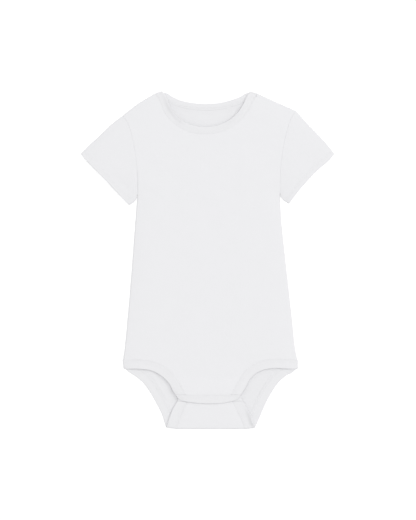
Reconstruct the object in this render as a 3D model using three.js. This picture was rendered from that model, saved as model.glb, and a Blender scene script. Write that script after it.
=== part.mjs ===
import * as THREE from 'three';

// Baby bodysuit with short sleeves, lying flat on its back.
// Lengths are millimetres: X runs across the garment, Y up it towards the neck, Z up from the surface.
// Left and right are as seen from above, with the neck at the top.

// Cloth walls and the spaces between them
const CLOTH = 1.2;
const BAND = 1.6;
const SEAM_GAP = 0.3;
const PUFF = 1.7;
const PUFF_REACH = 9;

// Widths of the bands, from their free edge to their seam
const NECK_BAND_FRONT = 9.4;
const NECK_BAND_BACK = 8;
const LEG_BAND_FRONT = 11.5;
const LEG_BAND_BACK = 12.5;
const LEG_BAND_TAIL = 13;
const HEM_WIDTH = 6;
const HEM_RAISE = 0.3;

// Heights in the crotch, where the front flap lies on the back's turned-up tail
const TAIL_MID = 2.9;
const SNAP_THICK = 1.0;
const FLAP_MID = TAIL_MID + BAND + SNAP_THICK + 2 * SEAM_GAP;
const FLAP_RISE_FROM = -136;
const FLAP_RISE_TO = -163;
const FOLD_Y = -209.5;

// Lengths along the garment where flap and tail meet their end bands
const FLAP_SEAM_Y = -168.6;
const TAIL_SEAM_Y = -176.4;
const TAIL_END_Y = -165;

// Press studs that hold the flap to the tail
const SNAP_RADIUS = 4;
const SNAP_PITCH = 22;
const SNAP_Y = -172.6;
const SNAP_MIDDLE_X = 0.8;

// How finely each stretch is divided
const STEPS = { shoulder: 6, neck: 18, armhole: 10, side: 10, leg: 10, flap: 10, backLeg: 12, fold: 5, tail: 4 };
const SLEEVE_STEPS = 6;
const EDGE_TURN_STEPS = 4;

// Points that several edges share, on each side
const LANDMARKS = {
  left: {
    neck: { x: -56.4, y: 210.9 }, tip: { x: -106.3, y: 180.1 }, pit: { x: -87.9, y: 78.4 },
    cuffTop: { x: -158.3, y: 132.6 }, cuffUnder: { x: -97.8, y: 68.4 }, hip: { x: -105.5, y: -124.4 },
  },
  right: {
    neck: { x: 52.6, y: 210.7 }, tip: { x: 110.1, y: 186.3 }, pit: { x: 90.3, y: 80.3 },
    cuffTop: { x: 158.3, y: 132.4 }, cuffUnder: { x: 101.6, y: 70.3 }, hip: { x: 111.9, y: -124.4 },
  },
};

// Free and folded edges between the landmarks, each from the neck or from the top down
const SHOULDER = {
  left: [{ x: -60.2, y: 210.4 }, { x: -64, y: 209 }, { x: -71.2, y: 204.7 }, { x: -87.7, y: 194.6 }],
  right: [{ x: 56, y: 210.3 }, { x: 60.4, y: 208.6 }, { x: 68.5, y: 204.8 }, { x: 90.4, y: 194.9 }],
};
const FRONT_NECK = [
  { x: -52.6, y: 205.6 }, { x: -50.2, y: 199.9 }, { x: -46, y: 189.9 }, { x: -37.5, y: 178.7 },
  { x: -22.5, y: 169.4 }, { x: -4.6, y: 166.5 }, { x: 13, y: 168.6 }, { x: 28.2, y: 175.7 },
  { x: 39.2, y: 186.4 }, { x: 46.2, y: 198.3 }, { x: 49.8, y: 206 },
];
const BACK_NECK = [
  { x: -52.4, y: 209.2 }, { x: -46, y: 204.9 }, { x: -35.6, y: 199.9 }, { x: -20, y: 196.2 },
  { x: -3.4, y: 194.9 }, { x: 14, y: 196 }, { x: 29.4, y: 199.6 }, { x: 42.2, y: 204.6 },
  { x: 48.6, y: 208.8 },
];
const ARMHOLE = {
  left: [
    { x: -101, y: 173 }, { x: -96.5, y: 162.4 }, { x: -92.6, y: 145 }, { x: -89.2, y: 125 },
    { x: -87.8, y: 105 },
  ],
  right: [
    { x: 104.5, y: 177.8 }, { x: 99.5, y: 163 }, { x: 95.4, y: 146 }, { x: 92.1, y: 126 },
    { x: 90.6, y: 106 },
  ],
};
const SLEEVE_TOP = {
  left: [{ x: -119.8, y: 169.6 }, { x: -135.6, y: 154.6 }, { x: -149.2, y: 142.1 }],
  right: [{ x: 124.8, y: 169.7 }, { x: 139.2, y: 154.9 }, { x: 150.4, y: 142.4 }],
};
const SLEEVE_HEM = {
  left: [{ x: -152.4, y: 125.2 }, { x: -127.6, y: 99.9 }, { x: -111.5, y: 82.6 }],
  right: [{ x: 151.4, y: 124.2 }, { x: 140.3, y: 114.8 }, { x: 127.6, y: 102.3 }, { x: 113.4, y: 86 }],
};
const UNDERARM_BULGE = 1.3;
const SIDE_SEAM = {
  left: [
    { x: -90.1, y: 49.9 }, { x: -93.1, y: 9.9 }, { x: -97, y: -40 }, { x: -101.5, y: -90 },
    { x: -103.6, y: -111 },
  ],
  right: [
    { x: 91.9, y: 49.9 }, { x: 96, y: 9.9 }, { x: 101.5, y: -40 }, { x: 106.9, y: -90 },
    { x: 109.1, y: -111 },
  ],
};
const HIP_BAND = {
  left: { edge: { x: -104.7, y: -136.2 }, seam: { x: -106.2, y: -124.7 } },
  right: { edge: { x: 112.5, y: -136.2 }, seam: { x: 112.7, y: -124.7 } },
};
const FRONT_LEG = {
  left: [
    { x: -84.6, y: -136.2 }, { x: -69.6, y: -138.6 }, { x: -56.2, y: -146.3 }, { x: -47.9, y: -155.1 },
    { x: -43.4, y: -164 }, { x: -40.5, y: -168.3 },
  ],
  right: [
    { x: 98, y: -135.8 }, { x: 78, y: -135.7 }, { x: 65, y: -139.3 }, { x: 55.4, y: -146.1 },
    { x: 49.2, y: -155.1 }, { x: 44.6, y: -164.4 }, { x: 42, y: -168.3 },
  ],
};
const BACK_LEG = {
  left: [
    { x: -98.2, y: -140.4 }, { x: -90.6, y: -145.1 }, { x: -79.2, y: -155.1 }, { x: -66.3, y: -175.1 },
    { x: -57.4, y: -192.6 }, { x: -52.5, y: -207.4 },
  ],
  right: [
    { x: 106.4, y: -140.4 }, { x: 97.4, y: -145.1 }, { x: 86.9, y: -155.1 }, { x: 74.4, y: -175.1 },
    { x: 66.2, y: -193.6 }, { x: 59.7, y: -208.2 },
  ],
};
const TAIL_SIDE = {
  left: [
    { x: -51.2, y: -207.4 }, { x: -47.6, y: -196.4 }, { x: -43.9, y: -186.4 }, { x: -38, y: -176.7 },
  ],
  right: [
    { x: 58.4, y: -208.2 }, { x: 54.7, y: -196.4 }, { x: 50.2, y: -186.4 }, { x: 44.1, y: -176.7 },
  ],
};
const FOLD_SEAM_X = { left: -37.8, right: 45.2 };
const TAIL_SEAM_X = { left: -25.3, right: 30.4 };
const TAIL_END_X = { left: -34, right: 39.1 };
const FLAP_SEAM_X = { left: -26.6, right: 28.4 };
const FLAP_END = [
  { x: -36.4, y: -174 }, { x: -32.1, y: -176 }, { x: -12.1, y: -178.9 }, { x: 0.4, y: -179.5 },
  { x: 17.9, y: -178.9 }, { x: 32.9, y: -175.8 }, { x: 38, y: -173.4 },
];

const CLOTH_COLOUR = 0xeeeef0;
const BAND_COLOUR = 0xececee;
const SNAP_COLOUR = 0xf3f3f1;

const SIDES = ['left', 'right'];
const UP = new THREE.Vector3(0, 0, 1);

const point = (row) => new THREE.Vector3(row.x, row.y, 0);
const at = (p, z) => new THREE.Vector3(p.x, p.y, z);
const mix = (a, b, t) => a.clone().lerp(b, t);
const range = (count) => Array.from({ length: count + 1 }, (_, i) => i / count);
const outwards = (side) => new THREE.Vector3(side === 'left' ? -1 : 1, 0, 0);

function smooth(t) {
  const c = Math.min(Math.max(t, 0), 1);
  return c * c * (3 - 2 * c);
}

// A smooth line in the flat through the rows of a table
function lineThrough(rows) {
  return new THREE.CatmullRomCurve3(rows.map(point), false, 'centripetal');
}

// Evenly spaced points on the stretch of a line between two shares of its length
function pointsOn(line, steps, from = 0, to = 1) {
  return range(steps).map((t) => line.getPointAt(from + (to - from) * t));
}

// The garment's edges, from landmark to landmark
const edgeLines = {};
for (const side of SIDES) {
  const mark = LANDMARKS[side];
  const underarm = mix(point(mark.pit), point(mark.cuffUnder), 0.5);
  const slope = point(mark.cuffUnder).sub(point(mark.pit)).normalize();
  const outward = side === 'left' ? 1 : -1;
  underarm.add(new THREE.Vector3(-slope.y, slope.x, 0).multiplyScalar(outward * UNDERARM_BULGE));
  edgeLines[side] = {
    shoulder: lineThrough([mark.neck, ...SHOULDER[side], mark.tip]),
    armhole: lineThrough([mark.tip, ...ARMHOLE[side], mark.pit]),
    sleeveTop: lineThrough([mark.tip, ...SLEEVE_TOP[side], mark.cuffTop]),
    hem: lineThrough([mark.cuffTop, ...SLEEVE_HEM[side], mark.cuffUnder]),
    underarm: lineThrough([mark.pit, underarm, mark.cuffUnder]),
    sideSeam: lineThrough([mark.pit, ...SIDE_SEAM[side], mark.hip]),
  };
}
const neckEnds = [LANDMARKS.left.neck, LANDMARKS.right.neck];
const frontNeckLine = lineThrough([neckEnds[0], ...FRONT_NECK, neckEnds[1]]);
const backNeckLine = lineThrough([neckEnds[0], ...BACK_NECK, neckEnds[1]]);

// Edges where the upper and the lower layer meet: shoulders, sleeve folds, underarms, sides and hips
const closedEdges = SIDES.flatMap((side) => {
  const { shoulder, sleeveTop, underarm, sideSeam } = edgeLines[side];
  const hip = [point(HIP_BAND[side].seam), point(HIP_BAND[side].edge)];
  return [...[shoulder, sleeveTop, underarm, sideSeam].map((line) => pointsOn(line, 12)), hip];
});

function distanceToClosedEdge(p) {
  let nearest = Infinity;
  for (const edge of closedEdges) {
    for (let i = 1; i < edge.length; i += 1) {
      const a = edge[i - 1];
      const run = edge[i].clone().sub(a);
      const along = THREE.MathUtils.clamp(p.clone().sub(a).dot(run) / run.lengthSq(), 0, 1);
      nearest = Math.min(nearest, p.distanceTo(a.clone().addScaledVector(run, along)));
    }
  }
  return nearest;
}

// Middle height of the upper layer: low where it joins the lower one, puffed inside, up over the tail
function upperMid(p, edgeMid, inset = 0) {
  const flat = at(p, 0);
  const inside = 1 - Math.exp(-Math.max(0, distanceToClosedEdge(flat) - inset) / PUFF_REACH);
  const body = edgeMid + (2.1 + PUFF - edgeMid) * inside;
  const rise = smooth((FLAP_RISE_FROM - p.y) / (FLAP_RISE_FROM - FLAP_RISE_TO));
  return body + (FLAP_MID - body) * rise;
}
const PANEL_EDGE_MID = CLOTH + SEAM_GAP + CLOTH / 2;
const BAND_EDGE_MID = BAND + SEAM_GAP + BAND / 2;
const turnRadius = BAND + SEAM_GAP / 2;

// One closed wall of cloth from rows of stations, each with an inner and an outer point
function clothWall(rows, closed = false) {
  const columns = rows[0].length;
  const positions = [];
  rows.forEach((row) => row.forEach((s) => positions.push(...s.inner.toArray(), ...s.outer.toArray())));
  const inner = (r, c) => 2 * ((r % rows.length) * columns + c);
  const outer = (r, c) => inner(r, c) + 1;
  const faces = [];
  const quad = (a, b, c, d) => faces.push(a, b, c, a, c, d);
  const last = closed ? rows.length : rows.length - 1;
  for (let r = 0; r < last; r += 1) {
    for (let c = 0; c < columns - 1; c += 1) {
      quad(outer(r, c), outer(r, c + 1), outer(r + 1, c + 1), outer(r + 1, c));
      quad(inner(r, c), inner(r + 1, c), inner(r + 1, c + 1), inner(r, c + 1));
    }
    quad(inner(r, 0), outer(r, 0), outer(r + 1, 0), inner(r + 1, 0));
    const e = columns - 1;
    quad(inner(r, e), inner(r + 1, e), outer(r + 1, e), outer(r, e));
  }
  if (!closed) {
    const e = rows.length - 1;
    for (let c = 0; c < columns - 1; c += 1) {
      quad(inner(0, c), inner(0, c + 1), outer(0, c + 1), outer(0, c));
      quad(inner(e, c), outer(e, c), outer(e, c + 1), inner(e, c + 1));
    }
  }
  const geometry = new THREE.BufferGeometry();
  geometry.setAttribute('position', new THREE.Float32BufferAttribute(positions, 3));
  geometry.setIndex(faces);
  if (signedVolume(positions, faces) < 0) {
    for (let i = 0; i < faces.length; i += 3) {
      [faces[i + 1], faces[i + 2]] = [faces[i + 2], faces[i + 1]];
    }
    geometry.setIndex(faces);
  }
  geometry.computeVertexNormals();
  return geometry;
}

function signedVolume(positions, faces) {
  let sum = 0;
  const corner = (i) => new THREE.Vector3().fromArray(positions, 3 * i);
  for (let i = 0; i < faces.length; i += 3) {
    sum += corner(faces[i]).dot(corner(faces[i + 1]).cross(corner(faces[i + 2]))) / 6;
  }
  return sum;
}

// A station of the wall around a middle point, with its thickness along a direction
function station(middle, direction, thickness) {
  return {
    inner: middle.clone().addScaledVector(direction, -thickness / 2),
    outer: middle.clone().addScaledVector(direction, thickness / 2),
  };
}

// Points that fill the space between four border lines of a panel
function fillBetween(top, bottom, left, right) {
  const [w, h] = [top.length - 1, left.length - 1];
  return left.map((l, j) => top.map((t, i) => {
    const [u, v] = [i / w, j / h];
    const across = mix(l, right[j], u);
    const down = mix(t, bottom[i], v);
    const corners = mix(mix(top[0], top[w], u), mix(bottom[0], bottom[w], u), v);
    return across.add(down).sub(corners);
  }));
}

// Pairs of edge and seam points of a band: the seam lies the band's width to one side of the edge
function bandPairs(edgeLine, steps, width, towards, startSeam, endSeam, blend = 14) {
  const length = edgeLine.getLength();
  const edges = pointsOn(edgeLine, steps);
  const startOffset = startSeam.clone().sub(edges[0]);
  const endOffset = endSeam.clone().sub(edges[steps]);
  return range(steps).map((t, i) => {
    const along = edgeLine.getTangentAt(t);
    const square = new THREE.Vector3(-along.y, along.x, 0).multiplyScalar(width * towards);
    const offset = mix(startOffset, square, smooth((t * length) / blend));
    offset.lerp(endOffset, smooth(1 - ((1 - t) * length) / blend));
    return { edge: edges[i], seam: edges[i].clone().add(offset) };
  });
}

// The panel ends one seam gap away from the band's seam
function panelBorder(pairs) {
  return pairs.map(({ edge, seam }) => {
    const away = seam.clone().sub(edge).normalize();
    return seam.clone().addScaledVector(away, SEAM_GAP);
  });
}

// Directions square to a line of points, to its left for sign 1
function squareTo(points, sign) {
  return points.map((p, i) => {
    const along = points[Math.min(i + 1, points.length - 1)].clone().sub(points[Math.max(i - 1, 0)]);
    return new THREE.Vector3(-along.y, along.x, 0).normalize().multiplyScalar(sign);
  });
}

function stepAside(points, distance) {
  const sideways = squareTo(points, 1);
  return points.map((p, i) => p.clone().addScaledVector(sideways[i], distance));
}

// The neck band takes the part of each shoulder next to the neck
function neckSeam(side) {
  const line = edgeLines[side].shoulder;
  return line.getPointAt(NECK_BAND_FRONT / line.getLength());
}

function shoulderPoints(side) {
  const line = edgeLines[side].shoulder;
  const length = line.getLength();
  return pointsOn(line, STEPS.shoulder, (NECK_BAND_FRONT + SEAM_GAP) / length, 1 - SEAM_GAP / length);
}

// The band's folded end at a shoulder, set in so that its rounded fold reaches the outline
function shoulderFold(side) {
  const edge = point(LANDMARKS[side].neck);
  const seam = neckSeam(side);
  const along = seam.clone().sub(edge).normalize();
  const outward = new THREE.Vector3(-along.y, along.x, 0).multiplyScalar(side === 'left' ? -1 : 1);
  const setIn = outward.clone().multiplyScalar(-turnRadius);
  return { pair: { edge: edge.add(setIn), seam: seam.add(setIn) }, outward };
}
const foldAt = { left: shoulderFold('left'), right: shoulderFold('right') };

function neckPairs(line, width) {
  const pairs = bandPairs(line, STEPS.neck, width, -1, neckSeam('left'), neckSeam('right'));
  return [foldAt.left.pair, ...pairs.slice(1, -1), foldAt.right.pair];
}
const frontNeckPairs = neckPairs(frontNeckLine, NECK_BAND_FRONT);
const backNeckPairs = neckPairs(backNeckLine, NECK_BAND_BACK);

// Upper border of a panel, from shoulder tip to shoulder tip
function topBorder(pairs) {
  return [...shoulderPoints('left').reverse(), ...panelBorder(pairs), ...shoulderPoints('right')];
}

// Armhole and side seam, from the shoulder tip down
function sideBorder(side) {
  const gap = (side === 'left' ? 1 : -1) * (SEAM_GAP / 2);
  const armhole = stepAside(pointsOn(edgeLines[side].armhole, STEPS.armhole), gap);
  const tip = shoulderPoints(side)[STEPS.shoulder];
  return [tip, ...armhole.slice(1, -1), ...pointsOn(edgeLines[side].sideSeam, STEPS.side)];
}

const legTowards = { left: 1, right: -1 };

function hipPoint(side, which) {
  return point(HIP_BAND[side][which]).addScaledVector(outwards(side), -turnRadius);
}

function frontLegPairs(side) {
  const line = lineThrough([hipPoint(side, 'edge'), ...FRONT_LEG[side]]);
  const end = new THREE.Vector3(FLAP_SEAM_X[side], FLAP_SEAM_Y + SEAM_GAP, 0);
  return bandPairs(line, STEPS.leg, LEG_BAND_FRONT, legTowards[side], hipPoint(side, 'seam'), end);
}

function backLegPairs(side) {
  const line = lineThrough([hipPoint(side, 'edge'), ...BACK_LEG[side]]);
  const end = new THREE.Vector3(FOLD_SEAM_X[side], FOLD_Y, 0);
  return bandPairs(line, STEPS.backLeg, LEG_BAND_BACK, legTowards[side], hipPoint(side, 'seam'), end, 22);
}

function tailPairs(side) {
  const start = new THREE.Vector3(FOLD_SEAM_X[side], FOLD_Y, 0);
  const end = new THREE.Vector3(TAIL_SEAM_X[side], TAIL_SEAM_Y - SEAM_GAP, 0);
  const towards = -legTowards[side];
  return bandPairs(lineThrough(TAIL_SIDE[side]), STEPS.tail, LEG_BAND_TAIL, towards, start, end, 10);
}

// Front panel: from the neck and shoulders to the leg bands and the flap's end band
function frontPanel() {
  const left = sideBorder('left');
  const right = sideBorder('right');
  const leftLeg = panelBorder(frontLegPairs('left'));
  const rightLeg = panelBorder(frontLegPairs('right')).reverse();
  const flapY = FLAP_SEAM_Y + SEAM_GAP;
  leftLeg[STEPS.leg].y = flapY;
  rightLeg[0].y = flapY;
  const flap = range(STEPS.flap).map((t) => mix(leftLeg[STEPS.leg], rightLeg[0], t));
  const [leftHip, rightHip] = [left[left.length - 1], right[right.length - 1]];
  const bottom = [leftHip, ...leftLeg, ...flap.slice(1, -1), ...rightLeg, rightHip];
  const grid = fillBetween(topBorder(frontNeckPairs), bottom, left, right);
  const rows = grid.map((row) => row.map((p) => station(at(p, upperMid(p, PANEL_EDGE_MID)), UP, CLOTH)));
  return clothWall(rows);
}

// Half a turn around a line across the garment, from the lower to the upper layer
function turnStations(lower, upper, lowMid, highMid, thickness) {
  const radius = (highMid - lowMid) / 2;
  const centre = (highMid + lowMid) / 2;
  return range(STEPS.fold).slice(1, -1).map((t) => {
    const angle = Math.PI * t;
    const direction = new THREE.Vector3(0, -Math.sin(angle), -Math.cos(angle));
    const axis = at(mix(lower, upper, t), centre);
    return station(axis.addScaledVector(direction, radius), direction, thickness);
  });
}

// Back panel: down to the crotch fold and up again as the tail under the flap
function backPanel() {
  const borders = {};
  for (const side of SIDES) {
    const leg = panelBorder(backLegPairs(side));
    leg[STEPS.backLeg] = new THREE.Vector3(FOLD_SEAM_X[side] + SEAM_GAP * legTowards[side], FOLD_Y, 0);
    borders[side] = [...sideBorder(side), ...leg];
  }
  const top = topBorder(backNeckPairs);
  const last = borders.left.length - 1;
  const bottom = range(top.length - 1).map((t) => mix(borders.left[last], borders.right[last], t));
  const grid = fillBetween(top, bottom, borders.left, borders.right);
  const lowMid = CLOTH / 2;
  const down = UP.clone().negate();
  const rows = grid.map((row) => row.map((p) => station(at(p, lowMid), down, CLOTH)));
  const columns = bottom.map((p) => turnStations(p, p, lowMid, TAIL_MID, CLOTH));
  for (let step = 0; step < STEPS.fold - 1; step += 1) {
    rows.push(columns.map((column) => column[step]));
  }
  const leftTail = panelBorder(tailPairs('left'));
  const rightTail = panelBorder(tailPairs('right'));
  leftTail[0] = bottom[0];
  rightTail[0] = bottom[bottom.length - 1];
  for (let step = 0; step <= STEPS.tail; step += 1) {
    const ends = [leftTail[step], rightTail[step]];
    rows.push(range(bottom.length - 1).map((t) => station(at(mix(...ends, t), TAIL_MID), UP, CLOTH)));
  }
  return clothWall(rows);
}

// Across a band: seam side, middle and a softly rounded free edge
const BAND_PROFILE = [
  { share: 1, wall: 1 }, { share: 0.55, wall: 1 }, { share: 0.09, wall: 1 }, { share: 0, wall: 0.5 },
];

function bandRow(edge, seam, direction) {
  return BAND_PROFILE.map(({ share, wall }) => station(mix(edge, seam, share), direction, BAND * wall));
}

// A band lying flat, with its middle height from a function
function flatBandRows(pairs, midHeight, direction) {
  return pairs.map(({ edge, seam }) => bandRow(at(edge, midHeight(edge)), at(seam, midHeight(seam)), direction));
}

// A band turning from the upper to the lower layer around its folded end
function sideTurnRows(pair, outward) {
  const low = BAND / 2;
  const radius = (BAND_EDGE_MID - low) / 2;
  const centre = (BAND_EDGE_MID + low) / 2;
  return range(EDGE_TURN_STEPS).slice(1, -1).map((t) => {
    const angle = Math.PI * t;
    const direction = outward.clone().multiplyScalar(Math.sin(angle)).addScaledVector(UP, Math.cos(angle));
    const shift = (p) => at(p, centre).addScaledVector(direction, radius);
    return bandRow(shift(pair.edge), shift(pair.seam), direction);
  });
}

const upperBandMid = (p) => upperMid(p, BAND_EDGE_MID, turnRadius);
const lowerBandMid = () => BAND / 2;

// Neck band: one loop around the neck opening, folded at both shoulders
function neckBand() {
  const front = flatBandRows(frontNeckPairs, upperBandMid, UP);
  const back = flatBandRows(backNeckPairs, lowerBandMid, UP.clone().negate());
  const rightTurn = sideTurnRows(foldAt.right.pair, foldAt.right.outward);
  const leftTurn = sideTurnRows(foldAt.left.pair, foldAt.left.outward);
  return clothWall([...front, ...rightTurn, ...back.reverse(), ...leftTurn.reverse()], true);
}

// Leg band: along the front leg edge, round the hip, down the back and up with the tail
function legBand(side) {
  const down = UP.clone().negate();
  const front = frontLegPairs(side);
  const back = backLegPairs(side);
  const tail = tailPairs(side);
  const frontRows = flatBandRows(front, upperBandMid, UP).reverse();
  const hipTurn = sideTurnRows(front[0], outwards(side));
  const backRows = flatBandRows(back, lowerBandMid, down);
  const low = back[STEPS.backLeg];
  const turnAcross = BAND_PROFILE.map(({ share, wall }) => turnStations(
    mix(low.edge, low.seam, share), mix(tail[0].edge, tail[0].seam, share), BAND / 2, TAIL_MID, BAND * wall,
  ));
  const foldRows = range(STEPS.fold).slice(1, -1).map((_, i) => turnAcross.map((column) => column[i]));
  const tailRows = flatBandRows(tail, () => TAIL_MID, UP);
  return clothWall([...frontRows, ...hipTurn, ...backRows, ...foldRows, ...tailRows]);
}

// A flat end band between an upper and a lower border line
function endBand(upper, lower, mid) {
  const rows = upper.map((p, i) => bandRow(at(lower[i], mid), at(p, mid), UP));
  return clothWall(rows);
}

function flapBand() {
  const steps = 16;
  const y = FLAP_SEAM_Y;
  const upperEnds = SIDES.map((side) => new THREE.Vector3(FRONT_LEG[side].at(-1).x, y, 0));
  const upper = range(steps).map((t) => mix(...upperEnds, t));
  return endBand(upper, pointsOn(lineThrough(FLAP_END), steps), FLAP_MID);
}

function tailBand() {
  const steps = 6;
  const seamEnds = SIDES.map((side) => new THREE.Vector3(TAIL_SIDE[side].at(-1).x, TAIL_SEAM_Y, 0));
  const freeEnds = SIDES.map((side) => new THREE.Vector3(TAIL_END_X[side], TAIL_END_Y, 0));
  const seam = range(steps).map((t) => mix(...seamEnds, t));
  const free = range(steps).map((t) => mix(...freeEnds, t));
  return endBand(seam, free, TAIL_MID);
}

// Sleeve: a flattened tube from the armhole to the hem, folded at its top and joined underneath
function sleeve(side) {
  const away = side === 'left' ? 1 : -1;
  const lines = edgeLines[side];
  const radius = CLOTH + SEAM_GAP / 2;
  const hemShare = 1 - HEM_WIDTH / lines.sleeveTop.getLength();
  const shares = [...range(SLEEVE_STEPS - 1).map((t) => t * (hemShare - 0.01)), hemShare, 1];
  const last = shares.length - 1;
  const folded = (line, sign) => {
    const points = shares.map((share) => line.getPointAt(share));
    const outs = squareTo(points, sign);
    const axis = points.map((p, i) => p.clone().addScaledVector(outs[i], -radius));
    axis[0].addScaledVector(outwards(side), SEAM_GAP / 2);
    return { axis, outs };
  };
  const top = folded(lines.sleeveTop, -away);
  const under = folded(lines.underarm, away);
  const armhole = stepAside(pointsOn(lines.armhole, STEPS.armhole), -away * (SEAM_GAP / 2));
  const hem = pointsOn(lines.hem, STEPS.armhole);
  const border = (points, i) => [top.axis[i], ...points.slice(1, -1), under.axis[i]];
  const grid = fillBetween(top.axis, under.axis, border(armhole, 0), border(hem, last));
  const raised = (i) => (i >= last - 1 ? HEM_RAISE : 0);
  const upper = grid.map((row) => row.map((p, i) => {
    const s = station(at(p, upperMid(p, PANEL_EDGE_MID, radius)), UP, CLOTH);
    s.outer.z += raised(i);
    return s;
  }));
  const down = UP.clone().negate();
  const lower = grid.map((row) => row.map((p) => station(at(p, CLOTH / 2), down, CLOTH)));
  const turn = ({ axis, outs }) => range(EDGE_TURN_STEPS).slice(1, -1).map((t) => axis.map((p, i) => {
    const angle = Math.PI * t;
    const direction = outs[i].clone().multiplyScalar(Math.sin(angle)).addScaledVector(UP, Math.cos(angle));
    const middle = (CLOTH + SEAM_GAP) / 2;
    return station(at(p, radius).addScaledVector(direction, middle), direction, CLOTH);
  }));
  return clothWall([...upper, ...turn(under), ...lower.reverse(), ...turn(top).reverse()], true);
}

// A press stud, closed: a short round body with a softened rim
function snap() {
  const half = SNAP_THICK / 2;
  const rim = 0.25;
  const profile = [
    { r: 0, z: -half }, { r: SNAP_RADIUS - rim, z: -half }, { r: SNAP_RADIUS, z: -half + rim },
    { r: SNAP_RADIUS, z: half - rim }, { r: SNAP_RADIUS - rim, z: half }, { r: 0, z: half },
  ];
  const geometry = new THREE.LatheGeometry(profile.map(({ r, z }) => new THREE.Vector2(r, z)), 20);
  geometry.rotateX(Math.PI / 2);
  return geometry;
}

const garment = new THREE.Group();
garment.name = 'baby_bodysuit';

function addPiece(name, geometry, color, roughness, metalness = 0) {
  const material = new THREE.MeshStandardMaterial({ color, roughness, metalness });
  material.name = `${name}_material`;
  const mesh = new THREE.Mesh(geometry, material);
  mesh.name = name;
  garment.add(mesh);
  return mesh;
}

addPiece('front_panel', frontPanel(), CLOTH_COLOUR, 0.92);
addPiece('back_panel', backPanel(), CLOTH_COLOUR, 0.92);
addPiece('neck_band', neckBand(), BAND_COLOUR, 0.9);
for (const side of SIDES) {
  addPiece(`sleeve_${side}`, sleeve(side), CLOTH_COLOUR, 0.92);
  addPiece(`leg_band_${side}`, legBand(side), BAND_COLOUR, 0.9);
}
addPiece('flap_band', flapBand(), BAND_COLOUR, 0.9);
addPiece('tail_band', tailBand(), BAND_COLOUR, 0.9);
for (const place of [-1, 0, 1]) {
  const stud = addPiece(`snap_${place + 2}`, snap(), SNAP_COLOUR, 0.4);
  const z = TAIL_MID + BAND / 2 + SEAM_GAP + SNAP_THICK / 2;
  stud.position.set(SNAP_MIDDLE_X + place * SNAP_PITCH, SNAP_Y, z);
}

export default garment;
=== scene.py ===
"""Baby bodysuit with short sleeves, lying flat on its back under plain studio light.

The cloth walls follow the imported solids: the same edges, worked out from the same tables in finer steps.
Tables and sizes are in millimetres, and turn into metres where a mesh is made.
X runs across the garment, Y up it towards the neck, Z up from the surface.
Left and right are as seen from above, with the neck at the top.
"""

import logging
import math
from dataclasses import dataclass, field
from enum import Enum
from typing import Callable, Optional, Sequence

import bpy
import numpy as np
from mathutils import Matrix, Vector


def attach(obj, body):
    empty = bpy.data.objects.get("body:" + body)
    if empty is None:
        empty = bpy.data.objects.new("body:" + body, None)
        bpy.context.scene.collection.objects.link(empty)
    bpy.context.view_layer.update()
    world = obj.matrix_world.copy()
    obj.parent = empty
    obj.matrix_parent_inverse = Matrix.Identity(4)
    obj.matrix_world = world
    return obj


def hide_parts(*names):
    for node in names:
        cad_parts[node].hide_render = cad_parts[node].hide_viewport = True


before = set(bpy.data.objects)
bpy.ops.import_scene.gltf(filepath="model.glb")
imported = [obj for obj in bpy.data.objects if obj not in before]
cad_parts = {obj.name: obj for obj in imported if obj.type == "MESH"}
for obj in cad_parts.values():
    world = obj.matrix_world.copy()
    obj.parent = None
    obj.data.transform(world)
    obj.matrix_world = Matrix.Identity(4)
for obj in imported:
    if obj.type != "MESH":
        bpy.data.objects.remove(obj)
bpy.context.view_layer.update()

Row = tuple[float, float]
Table = Sequence[Row]
Points = np.ndarray

MM = 0.001
LOG = logging.getLogger("bodysuit")


class Side(Enum):
    """The two halves of the garment, with the way that each points outwards along X."""

    LEFT = -1
    RIGHT = 1

    @property
    def word(self) -> str:
        """The half's name, as in the names of its pieces."""
        return self.name.lower()


@dataclass(frozen=True)
class Half:
    """Edges of one half of the garment, each from the neck or from its top down."""

    neck: Row
    tip: Row
    pit: Row
    cuff_top: Row
    cuff_under: Row
    hip: Row
    shoulder: Table
    armhole: Table
    sleeve_top: Table
    sleeve_hem: Table
    side_seam: Table
    hip_edge: Row
    hip_seam: Row
    front_leg: Table
    back_leg: Table
    tail_side: Table
    fold_seam_x: float
    tail_seam_x: float
    tail_end_x: float
    flap_seam_x: float


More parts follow.
